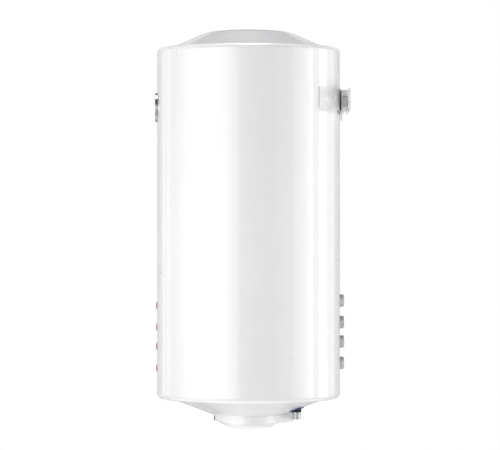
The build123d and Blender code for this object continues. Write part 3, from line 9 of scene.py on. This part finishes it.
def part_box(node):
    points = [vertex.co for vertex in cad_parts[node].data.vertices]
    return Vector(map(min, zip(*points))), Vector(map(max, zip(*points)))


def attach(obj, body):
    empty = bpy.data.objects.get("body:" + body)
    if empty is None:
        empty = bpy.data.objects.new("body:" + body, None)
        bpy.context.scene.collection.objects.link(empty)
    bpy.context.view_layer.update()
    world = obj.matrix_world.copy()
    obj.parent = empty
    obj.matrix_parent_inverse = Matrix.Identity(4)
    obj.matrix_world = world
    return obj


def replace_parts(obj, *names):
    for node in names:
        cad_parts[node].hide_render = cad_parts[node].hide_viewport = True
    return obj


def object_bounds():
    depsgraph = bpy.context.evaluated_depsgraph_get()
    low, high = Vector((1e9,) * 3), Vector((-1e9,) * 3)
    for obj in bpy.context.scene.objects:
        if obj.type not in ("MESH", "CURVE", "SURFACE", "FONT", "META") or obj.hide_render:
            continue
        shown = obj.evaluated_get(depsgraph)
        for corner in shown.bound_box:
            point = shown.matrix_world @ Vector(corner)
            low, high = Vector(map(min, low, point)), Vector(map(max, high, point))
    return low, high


# Looks of a wall-hung tank water heater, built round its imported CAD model.
# Metres, in the CAD model's frame: +Z up, the wall at +Y, the heater faces -Y.

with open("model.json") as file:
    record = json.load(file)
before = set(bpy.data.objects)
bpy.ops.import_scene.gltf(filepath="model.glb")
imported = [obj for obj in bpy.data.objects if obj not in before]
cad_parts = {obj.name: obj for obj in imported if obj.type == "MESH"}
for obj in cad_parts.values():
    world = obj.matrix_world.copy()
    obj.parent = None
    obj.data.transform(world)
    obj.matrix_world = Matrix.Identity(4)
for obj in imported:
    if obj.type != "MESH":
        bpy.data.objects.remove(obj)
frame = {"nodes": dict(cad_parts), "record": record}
CAD_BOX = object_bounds()
MM = 0.001


def middle(node):
    """Centre of a CAD node's box."""
    low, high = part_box(node)
    return (low + high) / 2


AXIS = middle("outer_casing")

# ---- camera: level, square to the heater's side, with the wall on the right ----
CAMERA_DISTANCE = 6.0
CAMERA_HEIGHT = -0.3
CAMERA_SHIFT_Y = 0.0036
PICTURE_WIDTH = 1.2055
SENSOR_WIDTH = 36.0
FAR_CLIP = 100.0


def add_camera():
    """Camera whose picture is PICTURE_WIDTH wide at the tank's axis."""
    data = bpy.data.cameras.new("camera")
    data.sensor_width = SENSOR_WIDTH
    data.lens = SENSOR_WIDTH * CAMERA_DISTANCE / PICTURE_WIDTH
    data.clip_end = FAR_CLIP
    camera = bpy.data.objects.new("camera", data)
    camera.location = (AXIS.x + CAMERA_DISTANCE, AXIS.y + CAMERA_SHIFT_Y, CAMERA_HEIGHT)
    camera.rotation_euler = (math.radians(90), 0, math.radians(90))
    bpy.context.scene.collection.objects.link(camera)
    bpy.context.scene.camera = camera


# ---- materials ----
# Middle half of a noise's values, and where its two colours sit on the ramp.
NOISE_SPAN = (0.25, 0.75)
RAMP_SPAN = (0.3, 0.7)

# Paint: waves a metre of its tone, gloss and orange peel; tone shares; roughness range; coat.
PAINT_WAVES = (5.0, 40.0, 260.0)
PAINT_TONES = (0.985, 1.01)
PAINT_ROUGHNESS = (0.27, 0.36)
PAINT_BASE_ROUGHNESS = 0.3
PAINT_COAT_ROUGHNESS = 0.04
PAINT_COAT_IOR = 1.5

# Moulded plastic: waves a metre of its tone and gloss; tone shares; roughness shares; coat.
PLASTIC_WAVES = (14.0, 60.0)
PLASTIC_TONES = (0.96, 1.03)
PLASTIC_GLOSS = (0.88, 1.15)
PLASTIC_COAT_ROUGHNESS = 0.06

# Metal: waves a metre of its stain; tone shares; roughness shares.
METAL_STAIN_WAVES = 90.0
METAL_TONES = (0.86, 1.1)
METAL_GLOSS = (0.8, 1.3)

# Lens: refraction, base roughness, waves a metre of its tint and haze, haze range, tints.
LENS_IOR = 1.49
LENS_BASE_ROUGHNESS = 0.02
LENS_WAVES = (30.0, 80.0)
LENS_HAZE = (0.01, 0.04)
LENS_TINT = (0.97, 0.98, 0.98)
LENS_CLEAR = (1.0, 1.0, 1.0)

# Foam: roughness, waves a metre of its tone and cells, tone shares, cell depth.
FOAM_ROUGHNESS = 0.95
FOAM_WAVES = (120.0, 700.0)
FOAM_TONES = (0.8, 1.05)
FOAM_CELL_DEPTH = 0.0003


class Look:
    """A node material on one Principled shader, in the object's own coordinates."""

    def __init__(self, name, roughness, metallic=0.0, **sockets):
        self.material = bpy.data.materials.new(name)
        self.material.use_nodes = True
        self.tree = self.material.node_tree
        self.shader = self.tree.nodes["Principled BSDF"]
        self.shader.inputs["Roughness"].default_value = roughness
        self.shader.inputs["Metallic"].default_value = metallic
        for key, value in sockets.items():
            self.shader.inputs[key.replace("_", " ")].default_value = value
        self.place = self.tree.nodes.new("ShaderNodeTexCoord").outputs["Object"]

    def link(self, output, node, socket):
        """Join an output to a node's input."""
        self.tree.links.new(output, node.inputs[socket])

    def noise(self, scale, detail=2.0, stretch=(1.0, 1.0, 1.0)):
        """Noise of so many waves a metre; a stretch above 1 makes it finer along that axis."""
        mapping = self.tree.nodes.new("ShaderNodeMapping")
        mapping.inputs["Scale"].default_value = stretch
        self.link(self.place, mapping, "Vector")
        node = self.tree.nodes.new("ShaderNodeTexNoise")
        node.inputs["Scale"].default_value = scale
        node.inputs["Detail"].default_value = detail
        self.link(mapping.outputs["Vector"], node, "Vector")
        return node.outputs["Fac"]

    def spread(self, factor, low, high):
        """Map a factor's middle half onto low..high."""
        node = self.tree.nodes.new("ShaderNodeMapRange")
        node.inputs["From Min"].default_value = NOISE_SPAN[0]
        node.inputs["From Max"].default_value = NOISE_SPAN[1]
        node.inputs["To Min"].default_value = low
        node.inputs["To Max"].default_value = high
        self.link(factor, node, "Value")
        return node.outputs["Result"]

    def colours(self, factor, first, second):
        """Blend two colours by a factor, into the base colour."""
        ramp = self.tree.nodes.new("ShaderNodeValToRGB")
        ramp.color_ramp.elements[0].position = RAMP_SPAN[0]
        ramp.color_ramp.elements[1].position = RAMP_SPAN[1]
        ramp.color_ramp.elements[0].color = (*first, 1)
        ramp.color_ramp.elements[1].color = (*second, 1)
        self.link(factor, ramp, "Fac")
        self.link(ramp.outputs["Color"], self.shader, "Base Color")

    def rough(self, factor, low, high):
        """Roughness that wanders between low and high."""
        self.link(self.spread(factor, low, high), self.shader, "Roughness")

    def bump(self, factor, height, coat=False):
        """Relief of that height in metres, on the shader and, if asked, on its coat."""
        node = self.tree.nodes.new("ShaderNodeBump")
        node.inputs["Strength"].default_value = 1.0
        node.inputs["Distance"].default_value = height
        self.link(factor, node, "Height")
        self.link(node.outputs["Normal"], self.shader, "Normal")
        if coat:
            self.link(node.outputs["Normal"], self.shader, "Coat Normal")


def shade(colour, share):
    """The colour, made lighter or darker by a share."""
    return tuple(min(1.0, c * share) for c in colour)


def paint(name, colour, peel=0.000005):
    """Glossy stoved paint: a smooth top with a faint orange peel and a trace of uneven tone."""
    coat = {"Coat_Roughness": PAINT_COAT_ROUGHNESS, "Coat_IOR": PAINT_COAT_IOR}
    look = Look(name, PAINT_BASE_ROUGHNESS, Coat_Weight=1.0, **coat)
    tone, gloss, ripple = PAINT_WAVES
    look.colours(look.noise(tone, 4.0), shade(colour, PAINT_TONES[0]), shade(colour, PAINT_TONES[1]))
    look.rough(look.noise(gloss, 3.0), *PAINT_ROUGHNESS)
    look.bump(look.noise(ripple, 1.0), peel, coat=True)
    return look.material


def moulded(name, colour, roughness, coat=0.0, grain=0.00001, grain_scale=900.0):
    """Moulded plastic with a fine grain and slightly uneven gloss."""
    look = Look(name, roughness, Coat_Weight=coat, Coat_Roughness=PLASTIC_COAT_ROUGHNESS)
    tone, gloss = PLASTIC_WAVES
    look.colours(look.noise(tone, 5.0), shade(colour, PLASTIC_TONES[0]), shade(colour, PLASTIC_TONES[1]))
    look.rough(look.noise(gloss, 4.0), roughness * PLASTIC_GLOSS[0], roughness * PLASTIC_GLOSS[1])
    look.bump(look.noise(grain_scale, 2.0), grain)
    return look.material


def metal(name, colour, roughness, stretch=(1.0, 40.0, 1.0), groove=0.000008, scale=60.0, metallic=1.0):
    """Machined or plated metal with fine tool lines across the stretched axis."""
    look = Look(name, roughness, metallic=metallic)
    stain = look.noise(METAL_STAIN_WAVES, 5.0)
    look.colours(stain, shade(colour, METAL_TONES[0]), shade(colour, METAL_TONES[1]))
    lines = look.noise(scale, 3.0, stretch)
    look.rough(lines, roughness * METAL_GLOSS[0], roughness * METAL_GLOSS[1])
    look.bump(lines, groove)
    return look.material


def clear(name):
    """Clear lens with a trace of haze."""
    look = Look(name, LENS_BASE_ROUGHNESS, Transmission_Weight=1.0, IOR=LENS_IOR)
    tint, haze = LENS_WAVES
    look.colours(look.noise(tint, 2.0), LENS_TINT, LENS_CLEAR)
    look.rough(look.noise(haze, 3.0), *LENS_HAZE)
    return look.material


def foam(name, colour):
    """Cut polyurethane foam with small cells."""
    look = Look(name, FOAM_ROUGHNESS)
    tone, cells = FOAM_WAVES
    look.colours(look.noise(tone, 6.0), shade(colour, FOAM_TONES[0]), shade(colour, FOAM_TONES[1]))
    look.bump(look.noise(cells, 2.0), FOAM_CELL_DEPTH)
    return look.material


LOOKS = {
    "casing_paint": paint("casing_paint", (0.8, 0.8, 0.805)),
    # bracket_paint is a whiter copy of the casing's white paint, as painted light: it keeps the hanger
    # strap and bracket brighter than the casing beside them.
    "bracket_paint": moulded("bracket_paint", (0.92, 0.92, 0.925), 0.42, coat=0.3, grain_scale=400.0),
    "socket_zinc": metal("socket_zinc", (0.55, 0.555, 0.56), 0.6, metallic=0.7),
    "bezel_metal": metal("bezel_metal", (0.45, 0.45, 0.46), 0.3),
    "cap_plastic": moulded("cap_plastic", (0.72, 0.725, 0.735), 0.34, coat=0.7),
    "cover_plastic": moulded("cover_plastic", (0.74, 0.74, 0.745), 0.3, coat=1.0),
    "zinc_steel": metal("zinc_steel", (0.42, 0.425, 0.43), 0.36),
    "nipple_chrome": metal("nipple_chrome", (0.62, 0.63, 0.64), 0.2, (1.0, 1.0, 30.0)),
    "red_plastic": moulded("red_plastic", (0.25, 0.02, 0.02), 0.35, coat=0.3),
    "blue_plastic": moulded("blue_plastic", (0.012, 0.035, 0.17), 0.35, coat=0.3),
    "black_plastic": moulded("black_plastic", (0.015, 0.015, 0.016), 0.45),
    "bezel_plastic": moulded("bezel_plastic", (0.08, 0.08, 0.085), 0.4, coat=0.2),
    "rubber_black": moulded("rubber_black", (0.012, 0.012, 0.012), 0.75, grain=0.00003),
    "dial_print": moulded("dial_print", (0.86, 0.86, 0.84), 0.5),
    "needle_red": moulded("needle_red", (0.55, 0.03, 0.02), 0.4),
    "lens_clear": clear("lens_clear"),
    "switch_red": moulded("switch_red", (0.6, 0.015, 0.01), 0.22, coat=1.0),
    "knob_grey": moulded("knob_grey", (0.36, 0.37, 0.385), 0.42),
    "foam": foam("foam", (0.8, 0.68, 0.36)),
    "enamel_steel": paint("enamel_steel", (0.02, 0.05, 0.12), 0.00003),
    "copper": metal("copper", (0.72, 0.35, 0.22), 0.3),
    "brass": metal("brass", (0.72, 0.52, 0.22), 0.3),
    "magnesium": metal("magnesium", (0.5, 0.51, 0.52), 0.6, (1.0, 1.0, 1.0), 0.0001),
    "electric_plastic": moulded("electric_plastic", (0.62, 0.6, 0.54), 0.5),
}


def dress(obj, look):
    """Give an object one material."""
    obj.data.materials.clear()
    obj.data.materials.append(look)


# ---- stage ----
HORIZON_LIGHT = 1.0
CEILING_LIGHT = 0.05
HORIZON_BAND = (0.1, 0.34)
FLOOR_DROP = 0.9
FLOOR_R = 8.8
FLOOR_SEGMENTS = 96
FLOOR_ROUGHNESS = 0.9
FLOOR_WAVES = 3.0
FLOOR_TONES = ((0.8, 0.8, 0.8), (0.82, 0.82, 0.82))


def add_world():
    """White surroundings at the horizon, dimmer overhead and underfoot."""
    world = bpy.data.worlds.new("studio")
    world.use_nodes = True
    tree = world.node_tree
    place = tree.nodes.new("ShaderNodeTexCoord")
    split = tree.nodes.new("ShaderNodeSeparateXYZ")
    steep = tree.nodes.new("ShaderNodeMath")
    steep.operation = "ABSOLUTE"
    level = tree.nodes.new("ShaderNodeMapRange")
    level.interpolation_type = "SMOOTHSTEP"
    level.inputs["From Min"].default_value = HORIZON_BAND[0]
    level.inputs["From Max"].default_value = HORIZON_BAND[1]
    level.inputs["To Min"].default_value = HORIZON_LIGHT
    level.inputs["To Max"].default_value = CEILING_LIGHT
    tree.links.new(place.outputs["Generated"], split.inputs["Vector"])
    tree.links.new(split.outputs["Z"], steep.inputs[0])
    tree.links.new(steep.outputs["Value"], level.inputs["Value"])
    tree.links.new(level.outputs["Result"], tree.nodes["Background"].inputs["Strength"])
    tree.nodes["Background"].inputs["Color"].default_value = (1.0, 1.0, 1.0, 1.0)
    bpy.context.scene.world = world


def add_floor():
    """Plain pale floor, well below the hanging heater."""
    bm = bmesh.new()
    bmesh.ops.create_circle(bm, cap_ends=True, segments=FLOOR_SEGMENTS, radius=FLOOR_R)
    mesh = bpy.data.meshes.new("floor")
    bm.to_mesh(mesh)
    bm.free()
    floor = bpy.data.objects.new("floor", mesh)
    floor.location = (AXIS.x, AXIS.y, CAD_BOX[0].z - FLOOR_DROP)
    bpy.context.scene.collection.objects.link(floor)
    look = Look("floor", FLOOR_ROUGHNESS)
    look.colours(look.noise(FLOOR_WAVES, 3.0), *FLOOR_TONES)
    dress(floor, look.material)


# Soft boxes stand upright in an arc on each side of the heater. Each row is
# (angle where the box starts, angle where it ends, radiance): degrees from the
# camera's direction, the wall's side positive. Neighbouring boxes make one soft slope.
# The radiances began as a least-squares fit to the brightness of the casing across the
# photograph, and were then rounded and changed.
BOX_DISTANCE = 2.4
BOX_HEIGHT = 2.0
SOFT_BOXES = [
    (-138.0, -127.0, 0.4),
    (-118.5, -113.5, 0.6),
    (-95.0, -84.0, 0.45),
    (-84.0, -73.0, 1.25),
    (-73.0, -62.0, 1.75),
    (-62.0, -51.0, 2.1),
    (-51.0, -40.0, 2.4),
    (-40.0, -30.0, 2.5),
    (-30.0, -21.0, 2.15),
    (-21.0, -12.0, 1.4),
    (32.0, 44.0, 0.4),
    (44.0, 56.0, 0.55),
    (56.0, 68.0, 1.45),
    (68.0, 77.5, 2.1),
    (77.5, 85.0, 3.2),
    (85.0, 96.0, 1.0),
    (96.0, 112.5, 2.6),
    (112.5, 138.0, 0.3),
]

# Level boxes overhead and underfoot light the caps: (height, width, radiance), facing the heater.
LEVEL_BOXES = [(4.2, 1.5, 30.0), (-1.65, 1.0, 1.1)]

# Grey flags behind the heater keep its outline grey against the white surroundings.
FLAG_DISTANCE = 1.5
FLAG_HEIGHT = 2.4
FLAGS = [(-172.0, -130.0), (130.0, 172.0)]
FLAG_WAVES = 4.0
FLAG_TONES = ((0.56, 0.56, 0.56), (0.6, 0.6, 0.6))


def upright_place(first, last, distance):
    """(place, rotation, width) of an upright panel that covers those angles round the axis."""
    turn = math.radians((first + last) / 2)
    outward = Vector((math.cos(turn), math.sin(turn), 0))
    place = Vector((AXIS.x, AXIS.y, CAMERA_HEIGHT)) + outward * distance
    width = 2 * distance * math.tan(math.radians(last - first) / 2)
    return place, outward.to_track_quat("Z", "Y"), width


def put(obj, place, rotation):
    """Place an object and add it to the scene."""
    obj.location = place
    obj.rotation_mode = "QUATERNION"
    obj.rotation_quaternion = rotation
    bpy.context.scene.collection.objects.link(obj)


def add_soft_box(name, first, last, radiance):
    """Upright area light that covers those angles, as seen from the tank's axis."""
    place, rotation, width = upright_place(first, last, BOX_DISTANCE)
    data = bpy.data.lights.new(name, "AREA")
    data.shape = "RECTANGLE"
    data.size = width
    data.size_y = BOX_HEIGHT
    data.energy = radiance * math.pi * width * BOX_HEIGHT
    put(bpy.data.objects.new(name, data), place, rotation)


def add_level_box(name, height, width, radiance):
    """Level area light over or under the heater, facing it."""
    data = bpy.data.lights.new(name, "AREA")
    data.shape = "DISK"
    data.size = width
    data.energy = radiance * math.pi * math.pi * width * width / 4
    facing = Vector((0, 0, math.copysign(1.0, height)))
    put(bpy.data.objects.new(name, data), Vector((AXIS.x, AXIS.y, height)), facing.to_track_quat("Z", "Y"))


def add_flag(name, first, last):
    """Grey upright panel that only reflections and shading see."""
    place, rotation, width = upright_place(first, last, FLAG_DISTANCE)
    bm = bmesh.new()
    bmesh.ops.create_grid(bm, x_segments=2, y_segments=2, size=0.5)
    bmesh.ops.scale(bm, vec=(width, FLAG_HEIGHT, 1.0), verts=bm.verts)
    mesh = bpy.data.meshes.new(name)
    bm.to_mesh(mesh)
    bm.free()
    flag = bpy.data.objects.new(name, mesh)
    put(flag, place, rotation)
    look = Look(name, 1.0)
    look.colours(look.noise(FLAG_WAVES), *FLAG_TONES)
    dress(flag, look.material)
    flag.visible_camera = False


# ---- detail pieces ----
SEGMENTS = 72
THREAD_PITCH = 1.814 * MM
THREAD_STEPS = 8
THREAD_DEPTH = 1.0 * MM
THREAD_FADE = 1.2 * MM
NIPPLE_THREAD = 15.0 * MM
NIPPLE_END = 17.0 * MM
NIPPLE_CHAMFER = 0.5 * MM
PIPE_BORE_R = 7.5 * MM
SHANK_R = 10.0 * MM
SOCKET_R = 15.2 * MM
SOCKET_CHAMFER = 0.6 * MM
SOCKET_LENGTH = 38.0 * MM
SOCKET_STUB_R = 10.0 * MM
SCALE_TOP = 80
SCALE_STEP = 2
STEPS_PER_LONG_TICK = 5
SCALE_LABEL = 20
SCALE_SWEEP = 240.0
TICK_R = 27.4 * MM
LONG_TICK = (5.0 * MM, 0.9 * MM)
SHORT_TICK = (2.6 * MM, 0.45 * MM)
TICK_DEPTH = 0.12 * MM
LABEL_R = 17.5 * MM
LABEL_SIZE = 5.6 * MM
WASHER_HALF_Y = 6.5 * MM
WASHER_HALF_Z = 12.5 * MM
WASHER_CORNER = 1.6 * MM
WASHER_THICKNESS = 1.5 * MM
WASHER_BEVEL = 0.5 * MM
CORNER_STEPS = 6


def tooth(turns):
    """Height of a thread at a phase in turns: 0 at the root, 1 at the crest, both rounded."""
    return 0.5 - 0.5 * math.cos(2 * math.pi * turns)


def groove(along, angle, length):
    """Share of the thread's depth cut away at a point, fading out at both ends."""
    fade = min(1.0, max(0.0, along / THREAD_FADE), max(0.0, (length - along) / THREAD_FADE))
    return fade * tooth(along / THREAD_PITCH - angle / (2 * math.pi))


def turned(bm, rings, place):
    """Skin rings of points, each a function of the angle giving (radius, height), put in place."""
    rows = []
    for ring in rings:
        row = []
        for i in range(SEGMENTS):
            angle = 2 * math.pi * i / SEGMENTS
            radius, height = ring(angle)
            point = Vector((radius * math.cos(angle), radius * math.sin(angle), height))
            row.append(bm.verts.new(place @ point))
        rows.append(row)
    for low, high in zip(rows, rows[1:] + rows[:1]):
        for i in range(SEGMENTS):
            j = (i + 1) % SEGMENTS
            face = bm.faces.new((low[i], low[j], high[j], high[i]))
            face.smooth = True


def plain_ring(radius, height):
    """Ring of one radius and height."""
    return lambda angle: (radius, height)


def threaded_ring(radius, depth, height, along, length):
    """Ring of a thread whose grooves go inwards by a positive depth, outwards by a negative one."""
    return lambda angle: (radius - depth * groove(along, angle, length), height)


def piece_from(bm, name, body, slot):
    """Object from a bmesh, riding on a body, in the look of a slot."""
    bmesh.ops.recalc_face_normals(bm, faces=bm.faces)
    mesh = bpy.data.meshes.new(name)
    bm.to_mesh(mesh)
    bm.free()
    obj = bpy.data.objects.new(name, mesh)
    bpy.context.scene.collection.objects.link(obj)
    dress(obj, LOOKS[slot])
    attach(obj, body)
    return obj


def threaded_rings(radius, depth, start, length, step):
    """Rings of a thread that starts at a height and runs by a signed step of height."""
    count = int(length / THREAD_PITCH * THREAD_STEPS)
    rows = []
    for i in range(count + 1):
        along = length * i / count
        rows.append(threaded_ring(radius, depth, start + step * along, along, length))
    return rows


def add_threaded_pipe(node, name, slot):
    """Water pipe with a real outside thread at its lower end, for the plain CAD pipe."""
    low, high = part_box(node)
    radius = (high.x - low.x) / 2
    length = high.z - low.z
    rings = [plain_ring(PIPE_BORE_R, 0), plain_ring(radius - THREAD_DEPTH, 0)]
    rings += threaded_rings(radius, THREAD_DEPTH, NIPPLE_CHAMFER, NIPPLE_THREAD, 1)
    rings += [plain_ring(radius, NIPPLE_END), plain_ring(SHANK_R, NIPPLE_END)]
    rings += [plain_ring(SHANK_R, length), plain_ring(PIPE_BORE_R, length)]
    bm = bmesh.new()
    centre = middle(node)
    turned(bm, rings, Matrix.Translation((centre.x, centre.y, low.z)))
    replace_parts(piece_from(bm, name, "heater", slot), node)


def add_threaded_sockets():
    """The four rear sockets, with inside threads, which wind left-handed."""
    bm = bmesh.new()
    for mount in frame["record"]["mounts"]:
        if "_coil_" in mount["name"]:
            axis = Vector(mount["axis"])
            place = Matrix.Translation(Vector(mount["pos_m"]) + axis * SOCKET_CHAMFER)
            turn = axis.to_track_quat("Z", "X").to_matrix().to_4x4()
            radius = mount["dims"]["r_mm"] * MM
            depth = mount["dims"]["length_mm"] * MM
            rings = [plain_ring(SOCKET_STUB_R, -SOCKET_LENGTH), plain_ring(SOCKET_R, -SOCKET_LENGTH)]
            rings += [plain_ring(SOCKET_R, -SOCKET_CHAMFER), plain_ring(SOCKET_R - SOCKET_CHAMFER, 0)]
            rings += [plain_ring(radius + THREAD_DEPTH, 0)]
            rings += threaded_rings(radius, -THREAD_DEPTH, -SOCKET_CHAMFER, depth, -1)
            rings += [plain_ring(SOCKET_STUB_R, -SOCKET_CHAMFER - depth)]
            turned(bm, rings, place @ turn)
    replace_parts(piece_from(bm, "rear_sockets_threaded", "heater", "socket_zinc"), "rear_port_sockets")


def dial_point(share, radius):
    """(x, z) from the dial's centre of a point at a share of the scale, which runs clockwise."""
    angle = math.radians(SCALE_SWEEP * (share - 0.5))
    return radius * math.sin(angle), radius * math.cos(angle)


def add_dial_ticks(centre, face):
    """Raised black ticks of the thermometer's scale."""
    bm = bmesh.new()
    for value in range(0, SCALE_TOP + 1, SCALE_STEP):
        share = value / SCALE_TOP
        length, width = LONG_TICK if value % (SCALE_STEP * STEPS_PER_LONG_TICK) == 0 else SHORT_TICK
        x, z = dial_point(share, TICK_R - length / 2)
        turn = Matrix.Rotation(math.radians(SCALE_SWEEP * (share - 0.5)), 4, "Y")
        size = Matrix.Diagonal((width, TICK_DEPTH, length, 1.0))
        place = Matrix.Translation((centre.x + x, face - TICK_DEPTH / 2, centre.z + z))
        bmesh.ops.create_cube(bm, size=1.0, matrix=place @ turn @ size)
    piece_from(bm, "dial_ticks", "heater", "rubber_black")


def add_dial_numbers(centre, face):
    """Numbers of the thermometer's scale."""
    for value in range(0, SCALE_TOP + 1, SCALE_LABEL):
        x, z = dial_point(value / SCALE_TOP, LABEL_R)
        text = bpy.data.curves.new(f"dial_number_{value}", "FONT")
        text.body = str(value)
        text.size = LABEL_SIZE
        text.extrude = TICK_DEPTH / 2
        text.align_x = "CENTER"
        text.align_y = "CENTER"
        label = bpy.data.objects.new(text.name, text)
        label.location = (centre.x + x, face - TICK_DEPTH / 2, centre.z + z)
        label.rotation_euler = (math.radians(90), 0, 0)
        bpy.context.scene.collection.objects.link(label)
        dress(label, LOOKS["rubber_black"])
        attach(label, "heater")


def rounded_outline(half_y, half_z, corner):
    """Points round a rounded rectangle, as (y, z)."""
    points = []
    for turn, (sign_y, sign_z) in enumerate(((1, 1), (-1, 1), (-1, -1), (1, -1))):
        for i in range(CORNER_STEPS + 1):
            angle = math.radians(90 * (turn + i / CORNER_STEPS))
            y = sign_y * (half_y - corner) + corner * math.cos(angle)
            points.append((y, sign_z * (half_z - corner) + corner * math.sin(angle)))
    return points


def add_washer_plate(name, outer, bolt, side):
    """Rounded zinc plate washer that the cross bolt's end passes through, against the bracket's side; its
    grey also paints the shade round the bolt.
    """
    outline = rounded_outline(WASHER_HALF_Y, WASHER_HALF_Z, WASHER_CORNER)
    bm = bmesh.new()
    rows = []
    bevelled = 1 - 2 * WASHER_BEVEL / WASHER_HALF_Y
    for lift, share in ((0, 1.0), (WASHER_THICKNESS - WASHER_BEVEL, 1.0), (WASHER_THICKNESS, bevelled)):
        x = side * (outer + lift)
        rows.append([bm.verts.new((x, bolt.y + y * share, bolt.z + z * share)) for y, z in outline])
    for low, high in zip(rows, rows[1:]):
        for i in range(len(outline)):
            j = (i + 1) % len(outline)
            bm.faces.new((low[i], low[j], high[j], high[i]))
    bm.faces.new(rows[0])
    bm.faces.new(rows[-1])
    piece_from(bm, name, "heater", "zinc_steel")


def add_details():
    """Everything that the CAD model leaves plain."""
    add_threaded_pipe("cold_inlet_pipe", "cold_pipe_threaded", "nipple_chrome")
    add_threaded_pipe("hot_outlet_pipe", "hot_pipe_threaded", "nipple_chrome")
    add_threaded_sockets()
    centre = middle("thermometer_dial")
    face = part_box("thermometer_dial")[0].y
    add_dial_ticks(centre, face)
    add_dial_numbers(centre, face)
    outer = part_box("hanger_bracket")[1].x
    bolt = middle("cross_bolt")
    add_washer_plate("washer_plate_right", outer, bolt, 1)
    add_washer_plate("washer_plate_left", outer, bolt, -1)


# ---- assembly ----
def dress_nodes():
    """Give every CAD node the material of its slot."""
    for part in frame["record"]["subparts"]:
        dress(frame["nodes"][part["node"]], LOOKS[part["material_slot"]])


add_camera()
bpy.context.scene.view_settings.view_transform = "Standard"
add_world()
add_floor()
for i, box in enumerate(SOFT_BOXES):
    add_soft_box(f"soft_box_{i}", *box)
for i, box in enumerate(LEVEL_BOXES):
    add_level_box(f"level_box_{i}", *box)
for i, flag in enumerate(FLAGS):
    add_flag(f"flag_{i}", *flag)
dress_nodes()
add_details()
